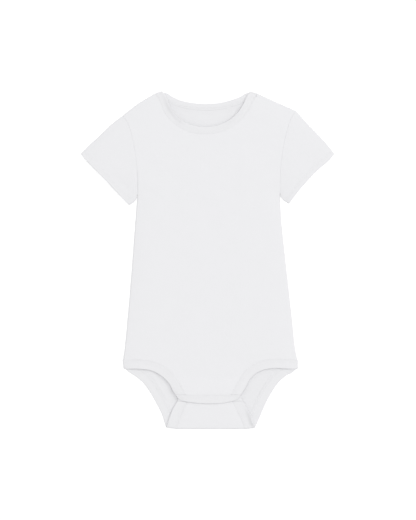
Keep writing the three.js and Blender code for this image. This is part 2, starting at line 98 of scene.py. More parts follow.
HALVES = {
    Side.LEFT: Half(
        neck=(-56.4, 210.9), tip=(-106.3, 180.1), pit=(-87.9, 78.4),
        cuff_top=(-158.3, 132.6), cuff_under=(-97.8, 68.4), hip=(-105.5, -124.4),
        shoulder=((-60.2, 210.4), (-64, 209), (-71.2, 204.7), (-87.7, 194.6)),
        armhole=((-101, 173), (-96.5, 162.4), (-92.6, 145), (-89.2, 125), (-87.8, 105)),
        sleeve_top=((-119.8, 169.6), (-135.6, 154.6), (-149.2, 142.1)),
        sleeve_hem=((-152.4, 125.2), (-127.6, 99.9), (-111.5, 82.6)),
        side_seam=((-90.1, 49.9), (-93.1, 9.9), (-97, -40), (-101.5, -90), (-103.6, -111)),
        hip_edge=(-104.7, -136.2), hip_seam=(-106.2, -124.7),
        front_leg=(
            (-84.6, -136.2), (-69.6, -138.6), (-56.2, -146.3), (-47.9, -155.1),
            (-43.4, -164), (-40.5, -168.3),
        ),
        back_leg=(
            (-98.2, -140.4), (-90.6, -145.1), (-79.2, -155.1), (-66.3, -175.1),
            (-57.4, -192.6), (-52.5, -207.4),
        ),
        tail_side=((-51.2, -207.4), (-47.6, -196.4), (-43.9, -186.4), (-38, -176.7)),
        fold_seam_x=-37.8, tail_seam_x=-25.3, tail_end_x=-34, flap_seam_x=-26.6,
    ),
    Side.RIGHT: Half(
        neck=(52.6, 210.7), tip=(110.1, 186.3), pit=(90.3, 80.3),
        cuff_top=(158.3, 132.4), cuff_under=(101.6, 70.3), hip=(111.9, -124.4),
        shoulder=((56, 210.3), (60.4, 208.6), (68.5, 204.8), (90.4, 194.9)),
        armhole=((104.5, 177.8), (99.5, 163), (95.4, 146), (92.1, 126), (90.6, 106)),
        sleeve_top=((124.8, 169.7), (139.2, 154.9), (150.4, 142.4)),
        sleeve_hem=((151.4, 124.2), (140.3, 114.8), (127.6, 102.3), (113.4, 86)),
        side_seam=((91.9, 49.9), (96, 9.9), (101.5, -40), (106.9, -90), (109.1, -111)),
        hip_edge=(112.5, -136.2), hip_seam=(112.7, -124.7),
        front_leg=(
            (98, -135.8), (78, -135.7), (65, -139.3), (55.4, -146.1), (49.2, -155.1),
            (44.6, -164.4), (42, -168.3),
        ),
        back_leg=(
            (106.4, -140.4), (97.4, -145.1), (86.9, -155.1), (74.4, -175.1),
            (66.2, -193.6), (59.7, -208.2),
        ),
        tail_side=((58.4, -208.2), (54.7, -196.4), (50.2, -186.4), (44.1, -176.7)),
        fold_seam_x=45.2, tail_seam_x=30.4, tail_end_x=39.1, flap_seam_x=28.4,
    ),
}
FRONT_NECK: Table = (
    (-52.6, 205.6), (-50.2, 199.9), (-46, 189.9), (-37.5, 178.7), (-22.5, 169.4), (-4.6, 166.5),
    (13, 168.6), (28.2, 175.7), (39.2, 186.4), (46.2, 198.3), (49.8, 206),
)
BACK_NECK: Table = (
    (-52.4, 209.2), (-46, 204.9), (-35.6, 199.9), (-20, 196.2), (-3.4, 194.9),
    (14, 196), (29.4, 199.6), (42.2, 204.6), (48.6, 208.8),
)
FLAP_END: Table = (
    (-36.4, -174), (-32.1, -176), (-12.1, -178.9), (0.4, -179.5), (17.9, -178.9),
    (32.9, -175.8), (38, -173.4),
)

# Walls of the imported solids, and the spaces between them
SOLID_CLOTH = 1.2
SOLID_BAND = 1.6
LAYER_GAP = 0.3
PUFF = 1.7
PUFF_REACH = 9.0
TAIL_MID = 2.9
FLAP_MID = 5.85
FLAP_RISE_FROM = -145.0
FLAP_RISE_TO = -166.0
FOLD_Y = -209.5
FLAP_SEAM_Y = -168.6
TAIL_SEAM_Y = -176.4
TAIL_END_Y = -165.0
PANEL_EDGE_MID = SOLID_CLOTH + LAYER_GAP + SOLID_CLOTH / 2
BAND_EDGE_MID = SOLID_BAND + LAYER_GAP + SOLID_BAND / 2
BAND_TURN_RADIUS = SOLID_BAND + LAYER_GAP / 2
INSIDE_MID = PANEL_EDGE_MID + PUFF

# The real cloth, thinner than its solid and sewn closer at the seams
CLOTH = 0.8
SEAM_GAP = 0.03
NECK_BAND_FRONT = 9.4
NECK_BAND_BACK = 8.0
LEG_BAND_FRONT = 11.5
LEG_BAND_BACK = 12.5
LEG_BAND_TAIL = 13.0
UNDERARM_BULGE = 1.3


@dataclass(frozen=True)
class Steps:
    """How many stretches the solids have along each edge, and how much finer the cloth is."""

    shoulder: int = 6
    neck: int = 18
    armhole: int = 10
    side: int = 10
    leg: int = 10
    flap: int = 10
    back_leg: int = 12
    tail: int = 4
    finer: int = 8


STEPS = Steps()


def smooth(t: Points) -> Points:
    """Ease from 0 to 1 as t does, flat at both ends."""
    c = np.clip(t, 0, 1)
    return c * c * (3 - 2 * c)


def rounded(distance: Points, reach: float) -> Points:
    """Height of a quarter circle of radius reach, as a share of it, at a distance from its rim."""
    return np.sqrt(1 - (1 - np.clip(distance / reach, 0, 1)) ** 2)


def hump(distance: Points, spread: float) -> Points:
    """A bell of height 1 that fades over about the spread."""
    return np.exp(-((distance / spread) ** 2))


def graded(count: int, ease: float) -> Points:
    """Shares from 0 to 1 that lie closer together at both ends.

    Args:
        count: number of stretches.
        ease: 0 for even stretches, nearly 1 for very fine ones at the ends.

    Returns:
        count + 1 shares.
    """
    t = np.linspace(0, 1, count + 1)
    return t - ease * np.sin(2 * np.pi * t) / (2 * np.pi)


def curve_through(knots: Points, finer: int) -> Points:
    """A centripetal Catmull-Rom curve through knots.

    Args:
        knots: points that the curve runs through.
        finer: stretches between each two knots.

    Returns:
        Points of the curve.
    """
    padded = np.vstack([2 * knots[0] - knots[1], knots, 2 * knots[-1] - knots[-2]])
    spans = np.maximum(np.sum(np.diff(padded, axis=0) ** 2, axis=1) ** 0.25, 1e-4)
    t = np.linspace(0, 1, finer, endpoint=False)[:, None]
    parts = []
    for i in range(len(knots) - 1):
        a, b, c, d = padded[i:i + 4]
        before, here, after = spans[i:i + 3]
        leave = here * ((b - a) / before - (c - a) / (before + here) + (c - b) / here)
        arrive = here * ((c - b) / here - (d - b) / (here + after) + (d - c) / after)
        square = 3 * (c - b) - 2 * leave - arrive
        cube = 2 * (b - c) + leave + arrive
        parts.append(b + leave * t + square * t ** 2 + cube * t ** 3)
    return np.vstack([*parts, knots[-1:]])


def lengths_along(points: Points) -> Points:
    """Distance of each point from the first, measured along the line."""
    return np.concatenate([[0.0], np.cumsum(np.linalg.norm(np.diff(points, axis=0), axis=1))])


def unit(vectors: Points) -> Points:
    """The same directions with length 1."""
    return vectors / np.maximum(np.linalg.norm(vectors, axis=-1, keepdims=True), 1e-9)


def directions(points: Points) -> Points:
    """Direction of a line at each of its points."""
    return unit(np.gradient(points, axis=0))


def turned_left(vectors: Points) -> Points:
    """Flat vectors turned a quarter to their left."""
    return np.stack([-vectors[..., 1], vectors[..., 0]], axis=-1)


class SmoothLine:
    """A smooth line through the rows of a table, measured by shares of its length."""

    def __init__(self, rows: Table) -> None:
        """Lay the line through rows.

        Args:
            rows: points that the line runs through.
        """
        self.points = curve_through(np.array(rows, dtype=float), 24)
        self.reach = lengths_along(self.points)
        self.length = float(self.reach[-1])

    def at(self, shares: Points) -> Points:
        """Points at shares of the length."""
        where = np.asarray(shares) * self.length
        return np.stack([np.interp(where, self.reach, self.points[:, k]) for k in (0, 1)], axis=-1)

    def direction(self, shares: Points) -> Points:
        """Directions of the line at shares of the length."""
        step = 0.002
        return unit(self.at(np.minimum(shares + step, 1)) - self.at(np.maximum(shares - step, 0)))

    def even(self, steps: int, start: float = 0.0, end: float = 1.0) -> Points:
        """Evenly spaced points between two shares of the length."""
        return self.at(np.linspace(start, end, steps + 1))


@dataclass
class BandEdges:
    """A band's two long edges in the flat: the free one and the sewn one, point by point."""

    edge: Points
    seam: Points

    def finer(self) -> "BandEdges":
        """The same edges in the cloth's finer steps."""
        return BandEdges(curve_through(self.edge, STEPS.finer), curve_through(self.seam, STEPS.finer))

    def beside(self) -> Points:
        """Border of the panel that is sewn to the band, one seam gap away from it."""
        return self.seam + unit(self.seam - self.edge) * SEAM_GAP

    def backwards(self) -> "BandEdges":
        """The same edges from the other end."""
        return BandEdges(self.edge[::-1], self.seam[::-1])


def band_edges(
    line: SmoothLine, steps: int, width: float, towards: int, start: Points, end: Points, blend: float = 14,
) -> BandEdges:
    """Edges of a band whose seam lies the band's width to one side of its free edge.

    Args:
        line: the free edge.
        steps: number of stretches along it.
        width: the band's width.
        towards: 1 for a seam on the line's left, -1 for its right.
        start: where the seam begins.
        end: where the seam ends.
        blend: length over which the seam leaves its ends for its true distance.

    Returns:
        The band's edges.
    """
    t = np.linspace(0, 1, steps + 1)[:, None]
    edge = line.even(steps)
    square = turned_left(line.direction(t[:, 0])) * width * towards
    offset = (start - edge[0]) + (square - (start - edge[0])) * smooth(t * line.length / blend)
    offset = offset + ((end - edge[-1]) - offset) * smooth(1 - (1 - t) * line.length / blend)
    return BandEdges(edge, edge + offset)


class Pattern:
    """The garment's edges, seams and folds in the flat, shared by all its pieces."""

    def __init__(self) -> None:
        """Draw every line of the pattern."""
        self.lines = {side: self._half_lines(half, side) for side, half in HALVES.items()}
        self.closed_edges = [line for side in Side for line in self._closed(side)]
        self.folds = {side: self._shoulder_fold(side) for side in Side}
        ends = (HALVES[Side.LEFT].neck, HALVES[Side.RIGHT].neck)
        self.front_neck = self._neck(SmoothLine((ends[0], *FRONT_NECK, ends[1])), NECK_BAND_FRONT)
        self.back_neck = self._neck(SmoothLine((ends[0], *BACK_NECK, ends[1])), NECK_BAND_BACK)

    @staticmethod
    def _half_lines(half: Half, side: Side) -> dict[str, SmoothLine]:
        """Smooth lines of one half's edges.

        Args:
            half: the half's table.
            side: which half.

        Returns:
            The lines by name.
        """
        pit, cuff = np.array(half.pit), np.array(half.cuff_under)
        bulge = turned_left(unit(cuff - pit)) * -side.value * UNDERARM_BULGE
        underarm = (pit + cuff) / 2 + bulge
        return {
            "shoulder": SmoothLine((half.neck, *half.shoulder, half.tip)),
            "armhole": SmoothLine((half.tip, *half.armhole, half.pit)),
            "sleeve_top": SmoothLine((half.tip, *half.sleeve_top, half.cuff_top)),
            "hem": SmoothLine((half.cuff_top, *half.sleeve_hem, half.cuff_under)),
            "underarm": SmoothLine((half.pit, tuple(underarm), half.cuff_under)),
            "side_seam": SmoothLine((half.pit, *half.side_seam, half.hip)),
        }

    def _closed(self, side: Side) -> list[Points]:
        """Edges of one half where the upper and the lower layer meet.

        Args:
            side: which half.

        Returns:
            The lines.
        """
        half, lines = HALVES[side], self.lines[side]
        named = ("shoulder", "sleeve_top", "underarm", "side_seam")
        return [*(lines[name].even(12) for name in named), np.array([half.hip_seam, half.hip_edge])]

    def neck_seam(self, side: Side) -> Points:
        """Where the neck band's seam meets the shoulder."""
        line = self.lines[side]["shoulder"]
        return line.at(NECK_BAND_FRONT / line.length)

    def _shoulder_fold(self, side: Side) -> tuple[Points, Points, Points]:
        """Edge and seam point of the neck band's folded end, and the way that it faces.

        Args:
            side: which half.

        Returns:
            Edge point, seam point and direction.
        """
        edge, seam = np.array(HALVES[side].neck), self.neck_seam(side)
        outward = turned_left(unit(seam - edge)) * side.value
        inset = outward * BAND_TURN_RADIUS
        return edge - inset, seam - inset, outward

    def _neck(self, line: SmoothLine, width: float) -> BandEdges:
        """Edges of the front or back half of the neck band, from shoulder fold to shoulder fold.

        Args:
            line: its free edge.
            width: the band's width.

        Returns:
            The band's edges.
        """
        ends = [self.neck_seam(side) for side in Side]
        edges = band_edges(line, STEPS.neck, width, -1, *ends)
        for index, side in ((0, Side.LEFT), (-1, Side.RIGHT)):
            edges.edge[index], edges.seam[index] = self.folds[side][:2]
        return edges.finer()

    def shoulder(self, side: Side) -> Points:
        """The panel's part of a shoulder, from the neck band out to the tip.

        Args:
            side: which half.

        Returns:
            Points from the neck band outwards.
        """
        line = self.lines[side]["shoulder"]
        start, end = (NECK_BAND_FRONT + SEAM_GAP) / line.length, 1 - SEAM_GAP / line.length
        return line.even(STEPS.shoulder * STEPS.finer, start, end)

    def top(self, neck: BandEdges) -> Points:
        """Upper border of a panel, from shoulder tip to shoulder tip."""
        return np.vstack([self.shoulder(Side.LEFT)[::-1], neck.beside(), self.shoulder(Side.RIGHT)])

    def armhole(self, side: Side, away: int) -> Points:
        """The armhole seam, half a seam gap towards the sleeve for 1 or the body for -1."""
        points = self.lines[side]["armhole"].even(STEPS.armhole * STEPS.finer)
        return points + turned_left(directions(points)) * (side.value * away * SEAM_GAP / 2)

    def side(self, side: Side) -> Points:
        """Armhole and side seam of a panel, from the shoulder tip down."""
        seam = self.lines[side]["side_seam"].even(STEPS.side * STEPS.finer)
        return np.vstack([self.shoulder(side)[-1:], self.armhole(side, -1)[1:-1], seam])

    def joined(self) -> list[Points]:
        """Borders where the front and the back panel meet."""
        seams = [self.lines[side]["side_seam"].points for side in Side]
        return [*(self.shoulder(side) for side in Side), *seams]

    @staticmethod
    def hip(side: Side, row: Row) -> Points:
        """A point of the leg band at the hip, set in by the radius of its turn."""
        return np.array(row) - np.array([side.value * BAND_TURN_RADIUS, 0])

    def front_leg(self, side: Side) -> BandEdges:
        """The leg band along the front, from the hip to the flap's end band.

        Args:
            side: which half.

        Returns:
            The band's edges.
        """
        half = HALVES[side]
        lowest = (half.front_leg[-1][0], FLAP_SEAM_Y + SEAM_GAP)
        line = SmoothLine((tuple(self.hip(side, half.hip_edge)), *half.front_leg[:-1], lowest))
        end = np.array([half.flap_seam_x, FLAP_SEAM_Y + SEAM_GAP])
        start = self.hip(side, half.hip_seam)
        return band_edges(line, STEPS.leg, LEG_BAND_FRONT, -side.value, start, end).finer()

    def back_leg(self, side: Side) -> BandEdges:
        """The leg band along the back, from the hip to the crotch fold.

        Args:
            side: which half.

        Returns:
            The band's edges.
        """
        half = HALVES[side]
        line = SmoothLine((tuple(self.hip(side, half.hip_edge)), *half.back_leg))
        end = np.array([half.fold_seam_x, FOLD_Y])
        start = self.hip(side, half.hip_seam)
        return band_edges(line, STEPS.back_leg, LEG_BAND_BACK, -side.value, start, end, 22).finer()

    def tail(self, side: Side) -> BandEdges:
        """The leg band along the turned-up tail, from the crotch fold to the tail's end band.

        Args:
            side: which half.

        Returns:
            The band's edges.
        """
        half = HALVES[side]
        start = np.array([half.fold_seam_x, FOLD_Y])
        end = np.array([half.tail_seam_x, TAIL_SEAM_Y - SEAM_GAP])
        line = SmoothLine((*half.tail_side[:-1], (half.tail_side[-1][0], TAIL_SEAM_Y - SEAM_GAP)))
        return band_edges(line, STEPS.tail, LEG_BAND_TAIL, side.value, start, end, 10).finer()


def distance_to(points: Points, lines: Sequence[Points]) -> Points:
    """Distance in the flat from each point to the nearest of some lines.

    Args:
        points: any array of points, of which x and y count.
        lines: lines of points.

    Returns:
        An array of distances, of the points' shape.
    """
    starts = np.vstack([line[:-1, :2] for line in lines])
    runs = np.vstack([np.diff(line[:, :2], axis=0) for line in lines])
    squares = np.maximum((runs ** 2).sum(axis=1), 1e-12)
    flat = points[..., :2].reshape(-1, 2)
    nearest = np.empty(len(flat))
    for first in range(0, len(flat), 2000):
        away = flat[first:first + 2000, None] - starts
        share = np.clip((away * runs).sum(axis=2) / squares, 0, 1)
        gaps = away - share[..., None] * runs
        nearest[first:first + 2000] = np.sqrt((gaps ** 2).sum(axis=2).min(axis=1))
    return nearest.reshape(points.shape[:-1])


def nearest_on(points: Points, line: Points) -> tuple[Points, Points]:
    """Distance from each point to a line, and the share of the line at the nearest place.

    Args:
        points: places in the flat.
        line: points of the line.

    Returns:
        The distances and the shares.
    """
    runs = np.diff(line, axis=0)
    away = points[..., None, :2] - line[:-1]
    share = np.clip((away * runs).sum(axis=-1) / np.maximum((runs ** 2).sum(axis=1), 1e-12), 0, 1)
    gaps = np.linalg.norm(away - share[..., None] * runs, axis=-1)
    best = gaps.argmin(axis=-1)[..., None]
    distance = np.take_along_axis(gaps, best, axis=-1)[..., 0]
    return distance, (best + np.take_along_axis(share, best, axis=-1))[..., 0] / len(runs)


PATTERN = Pattern()


def upper_mid(points: Points, edge_mid: float, inset: float = 0.0) -> Points:
    """Middle height of the upper layer: low where it joins the lower one, puffed inside, up over the tail.

    Args:
        points: places in the flat.
        edge_mid: height where the layers join.
        inset: how far inside the outline that height still holds.

    Returns:
        A height for each point.
    """
    reach = np.maximum(distance_to(points, PATTERN.closed_edges) - inset, 0)
    body = edge_mid + (INSIDE_MID - edge_mid) * (1 - np.exp(-reach / PUFF_REACH))
    rise = smooth((FLAP_RISE_FROM - points[..., 1]) / (FLAP_RISE_FROM - FLAP_RISE_TO))
    return body + (FLAP_MID - body) * rise


@dataclass
class FreeEdges:
    """How the free edges of one layer stand up from its solid or sink below it, as their shadows show.

    places holds rows of X, Y and the height at that place, which blend into each other over the reach.
    """

    lines: list[Points]
    places: Sequence[tuple[float, float, float]]
    joins: Callable[[Points], Points]
    reach: float = 9.0
    spread: float = 3.5

    def lift(self, points: Points) -> Points:
        """What the free edges add to the height of each point.

        Args:
            points: places in the flat.

        Returns:
            A height for each point.
        """
        table = np.array(self.places)
        gaps = ((points[..., None, :2] - table[:, :2]) ** 2).sum(axis=-1)
        weights = np.exp(-(gaps - gaps.min(axis=-1, keepdims=True)) / self.reach ** 2)
        height = (weights * table[:, 2]).sum(axis=-1) / weights.sum(axis=-1)
        return height * self.joins(points) * hump(distance_to(points, self.lines), self.spread)


UPPER_EDGES = FreeEdges(
    [PATTERN.front_neck.edge, *(PATTERN.front_leg(side).edge for side in Side), SmoothLine(FLAP_END).points],
    (
        (-51, 203, 1.6), (-46, 189, 2.5), (-37, 178, 1.8), (-20, 169, 0.4),
        (0, 167, -0.2), (18, 170, 0.7),
        (31, 178, 2.0), (42, 190, 2.0), (48, 203, 2.0), (-98, -136, 1.8),
        (-85, -136, 1.6), (-70, -139, 0.0),
        (-57, -147, -0.1), (-48, -155, -0.5), (-43, -164, -1.3), (-37, -173, -1.3), (-21, -178, -0.2),
        (0, -179, -0.35), (23, -178, -0.2), (37, -174, -0.7), (44, -166, -0.9),
        (50, -155, -0.4), (57, -145, 0.1),
        (71, -138, 0.2), (87, -135, -0.2), (100, -136, 2.3),
    ),
    lambda points: 1 - np.exp(-distance_to(points, PATTERN.closed_edges) / 6),
)
TAIL_EDGES = FreeEdges(
    [PATTERN.tail(side).edge for side in Side],
    (
        (-51, -205, 1.7), (-46, -192, 1.6), (-39, -178, 0.0),
        (57, -205, 3.6), (53, -194, 2.6), (46, -181, 0.0),
    ),
    lambda points: smooth((points[..., 1] - FOLD_Y) / 6),
)


@dataclass(frozen=True)
class Crease:
    """A soft trough or ridge in the cloth.

    start and end are its tips, bow is how far its middle swings aside, spread is its half width,
    and rise is its height, below 0 for a trough.
    """

    start: Row
    end: Row
    bow: float
    spread: float
    rise: float

    def height(self, points: Points) -> Points:
        """What the crease adds to the height of each point.

        Args:
            points: places in the flat.

        Returns:
            A height for each point.
        """
        start, end = np.array(self.start), np.array(self.end)
        t = np.linspace(0, 1, 11)[:, None]
        side = turned_left(unit(end - start)) * self.bow
        line = start + (end - start) * t + side * (4 * t * (1 - t))
        distance, share = nearest_on(points, line)
        return self.rise * hump(distance, self.spread) * np.sin(np.pi * share) ** 0.8


ARMPIT_FOLD = Crease((-89.3, 116), (-88.5, 74), 0.2, 1.5, -1.3)
FRONT_CREASES = (
    ARMPIT_FOLD,
    Crease((-86, 88), (-52, 66), 3, 4.5, -0.42),
    Crease((-87, 100), (-60, 96), -2, 5.5, 0.26),
    Crease((-84, 118), (-66, 132), 2, 5.0, -0.24),
    Crease((88, 90), (50, 70), -3.5, 5.0, -0.40),
    Crease((89, 103), (57, 101), 2, 6.0, 0.24),
    Crease((91, 124), (73, 141), -2, 5.5, -0.26),
    Crease((-88, 52), (-64, 30), 4, 7.0, -0.22),
    Crease((91, 40), (70, 12), -5, 8.0, -0.24),
    Crease((-40, 150), (-66, 110), 6, 11.0, 0.20),
    Crease((44, 146), (66, 96), -7, 12.0, 0.22),
    Crease((-20, 70), (12, 20), 8, 17.0, -0.26),
    Crease((40, 10), (62, -60), -8, 16.0, 0.24),
    Crease((-70, -20), (-48, -82), 7, 15.0, -0.24),
    Crease((-98, -96), (-66, -112), 3, 6.0, -0.26),
    Crease((105, -94), (76, -114), -3, 6.5, -0.28),
    Crease((-60, -128), (-28, -120), 2.5, 5.0, 0.20),
    Crease((66, -125), (36, -116), -2, 5.5, 0.18),
    Crease((-38, -150), (-12, -143), 2, 4.0, -0.17),
    Crease((41, -152), (18, -144), -2, 4.5, -0.16),
    Crease((-14, -160), (16, -158), 1.5, 4.5, 0.10),
)
BACK_CREASES = (
    Crease((-80, 96), (-46, 78), 4, 5.0, 0.34),
    Crease((82, 92), (54, 66), -4, 5.5, 0.32),
    Crease((-60, 160), (-24, 150), 4, 8.0, 0.26),
    Crease((26, 158), (62, 140), 5, 8.5, 0.28),
    Crease((-74, 30), (-40, 6), 5, 8.0, 0.30),
    Crease((84, 20), (50, -6), -5, 9.0, 0.26),
    Crease((-10, 60), (20, 8), 7, 14.0, 0.26),
    Crease((-60, -70), (-30, -112), -6, 10.0, 0.30),
    Crease((78, -60), (46, -104), 6, 10.0, 0.28),
    Crease((-84, -118), (-56, -136), 3, 5.0, 0.26),
    Crease((92, -116), (62, -138), -3, 5.5, 0.26),
    Crease((-30, -164), (-8, -176), 3, 5.5, 0.22),
    Crease((38, -166), (14, -182), -3, 5.5, 0.20),
)
SLEEVE_CREASES = {
    Side.LEFT: (
        ARMPIT_FOLD,
        Crease((-92, 84), (-118, 106), 2, 4.0, -0.36),
        Crease((-93, 98), (-128, 126), -3, 6.0, 0.22),
        Crease((-98, 140), (-132, 142), 3, 6.5, -0.20),
        Crease((-104, 166), (-126, 152), -2, 5.0, 0.16),
    ),
    Side.RIGHT: (
        Crease((95, 86), (120, 108), -2.5, 4.2, -0.38),
        Crease((96, 102), (130, 122), 3, 5.5, 0.24),
        Crease((100, 138), (130, 146), -3, 7.0, -0.22),
        Crease((108, 168), (128, 154), 2, 5.0, 0.18),
    ),
}


def settled(points: Points, rise: float, seed: int) -> Points:
    """Long, faint waves that no cloth is quite without.

    Args:
        points: places in the flat.
        rise: usual height of the waves.
        seed: which waves.

    Returns:
        A height for each point.
    """
    chance = np.random.default_rng(seed)
    count = 9
    height = np.zeros(points.shape[:-1])
    for _ in range(count):
        angle, phase = chance.uniform(0, 2 * math.pi, 2)
        wave = chance.uniform(24, 95)
        travel = points[..., 0] * math.cos(angle) + points[..., 1] * math.sin(angle)
        height += np.sin(2 * math.pi * travel / wave + phase)
    return rise * height / math.sqrt(count)


def ripple(travel: Points, seed: int) -> Points:
    """Small uneven puckers along a seam, of height about 1, from the way travelled along it.

    Args:
        travel: distances along the seam.
        seed: which unevenness.

    Returns:
        A height for each distance.
    """
    chance = np.random.default_rng(seed)
    waves = ((2.9, 0.25), (4.7, 0.45), (7.3, 0.55), (12.1, 0.4))
    return sum(part * np.sin(2 * math.pi * travel / wave + chance.uniform(0, 6.28)) for wave, part in waves)


def puckers(points: Points, seam: Points, rise: float, spread: float, seed: int) -> Points:
    """Puckers that run into a panel from a sewn seam and fade over the spread.

    Args:
        points: places in the flat.
        seam: the seam's points.
        rise: usual height of the puckers.
        spread: distance over which they fade.
        seed: which unevenness.

    Returns:
        A height for each point.
    """
    distance, share = nearest_on(points, seam)
    travel = share * lengths_along(seam)[-1]
    return rise * ripple(travel, seed) * np.exp(-distance / spread)


def run_between(start: Points, line: Points, end: Points, clear: float) -> Points:
    """Even points from start to end along a line, without its stretches near its own ends.

    Args:
        start: the first point.
        line: points of the line.
        end: the last point.
        clear: how far from its ends the line counts.

    Returns:
        As many points as the line has.
    """
    reach = lengths_along(line)
    path = np.vstack([start, line[(reach > clear) & (reach < reach[-1] - clear)], end])
    reach = lengths_along(path)
    where = np.linspace(0, reach[-1], len(line))
    return np.stack([np.interp(where, reach, path[:, k]) for k in (0, 1)], axis=-1)


def on_corners(shares: Points, *borders: Points) -> Points:
    """Shares along some borders, with those next to a sharp corner of any border moved onto it.

    Args:
        shares: shares from 0 to 1.

    Returns:
        The shares in order.
    """
    moved = shares.copy()
    for border in borders:
        way = unit(np.diff(border, axis=0))
        for corner in np.flatnonzero((way[1:] * way[:-1]).sum(axis=1) < 0.94) + 1:
            share = corner / (len(border) - 1)
            moved[1 + np.abs(moved[1:-1] - share).argmin()] = share
    return np.sort(moved)


def sampled(border: Points, shares: Points) -> Points:
    """Points of a border at shares of its count."""
    where = shares * (len(border) - 1)
    return np.stack([np.interp(where, np.arange(len(border)), border[:, k]) for k in (0, 1)], axis=-1)


def fill_between(top: Points, bottom: Points, left: Points, right: Points, u: Points, v: Points) -> Points:
    """Points of a panel between its four borders.

    Args:
        top: border from left to right.
        bottom: border from left to right.
        left: border downwards.
        right: border downwards.
        u: shares across, one for each column.
        v: shares downwards, one for each row.

    Returns:
        Rows and columns of points in the flat.
    """
    t, b, lft, rgt = sampled(top, u), sampled(bottom, u), sampled(left, v), sampled(right, v)
    u, v = u[None, :, None], v[:, None, None]
    across = lft[:, None] * (1 - u) + rgt[:, None] * u
    down = t[None] * (1 - v) + b[None] * v
    corners = (t[0] * (1 - u) + t[-1] * u) * (1 - v) + (b[0] * (1 - u) + b[-1] * u) * v
    return across + down - corners


def evened(grid: Points, rounds: int) -> Points:
    """A grid whose inner points have moved between their neighbours, so that its lines don't cross.

    Args:
        grid: rows and columns of points.
        rounds: how often they move.

    Returns:
        The grid.
    """
    for _ in range(rounds):
        grid[1:-1, 1:-1] = (grid[:-2, 1:-1] + grid[2:, 1:-1] + grid[1:-1, :-2] + grid[1:-1, 2:]) / 4
    return grid


def placed(name: str, data: bpy.types.ID) -> bpy.types.Object:
    """A new object of some data, in the scene.

    Args:
        name: the object's name.
        data: its mesh, light or camera.

    Returns:
        The object.
    """
    thing = bpy.data.objects.new(name, data)
    bpy.context.collection.objects.link(thing)
    return thing


class Nodes:
    """A short hand for building a material's node tree."""

    def __init__(self, name: str) -> None:
        """Start a material with a Principled shader.

        Args:
            name: the material's name.
        """
        self.material = bpy.data.materials.new(name)
        self.material.use_nodes = True
        self.tree = self.material.node_tree
        self.shader = self.tree.nodes["Principled BSDF"]

    def add(self, kind: str, **settings: object) -> bpy.types.Node:
        """A new node with its properties set.

        Args:
            kind: the node's type.

        Returns:
            The node.
        """
        node = self.tree.nodes.new(kind)
        for key, value in settings.items():
            setattr(node, key, value)
        return node

    def link(self, source: bpy.types.NodeSocket, target: bpy.types.NodeSocket) -> None:
        """Join two sockets."""
        self.tree.links.new(source, target)

    def math(self, operation: str, *inputs: object) -> bpy.types.NodeSocket:
        """The result of a Math node on numbers or sockets.

        Args:
            operation: which operation.

        Returns:
            The node's result.
        """
        node = self.add("ShaderNodeMath", operation=operation)
        for socket, value in zip(node.inputs, inputs):
            if isinstance(value, (int, float)):
                socket.default_value = value
            else:
                self.link(value, socket)
        return node.outputs[0]

    def set(self, **values: object) -> None:
        """Set the shader's own sockets; an underscore in a name stands for a space."""
        for key, value in values.items():
            self.shader.inputs[key.replace("_", " ")].default_value = value

    def bump(self, height: bpy.types.NodeSocket, strength: float, distance: float) -> None:
        """Let the surface stand up and sink by a height.

        Args:
            height: the height, from about 0 to 1.
            strength: how strongly it tells.
            distance: millimetres for a height of 1.
        """
        bump = self.add("ShaderNodeBump")
        bump.inputs["Strength"].default_value = strength
        bump.inputs["Distance"].default_value = distance * MM
        self.link(height, bump.inputs["Height"])
        self.link(bump.outputs["Normal"], self.shader.inputs["Normal"])

    def cloth_place(self) -> tuple[bpy.types.NodeSocket, bpy.types.NodeSocket, bpy.types.NodeSocket]:
        """The place on the cloth: its two coordinates in metres, and both as one vector.

        Returns:
            The two coordinates and the vector.
        """
        place = self.add("ShaderNodeUVMap", uv_map="cloth")
        split = self.add("ShaderNodeSeparateXYZ")
        self.link(place.outputs["UV"], split.inputs[0])
        return split.outputs["X"], split.outputs["Y"], place.outputs["UV"]


class Layer(Enum):
    """Layers whose free edges stand up from their solids or sink below them."""

    NONE = 0
    UPPER = 1
    TAIL = 2


class Stitch(Enum):
    """Sides and kinds of knitted cloth."""

    FACE = "face"
    REVERSE = "reverse"
    RIB = "rib"


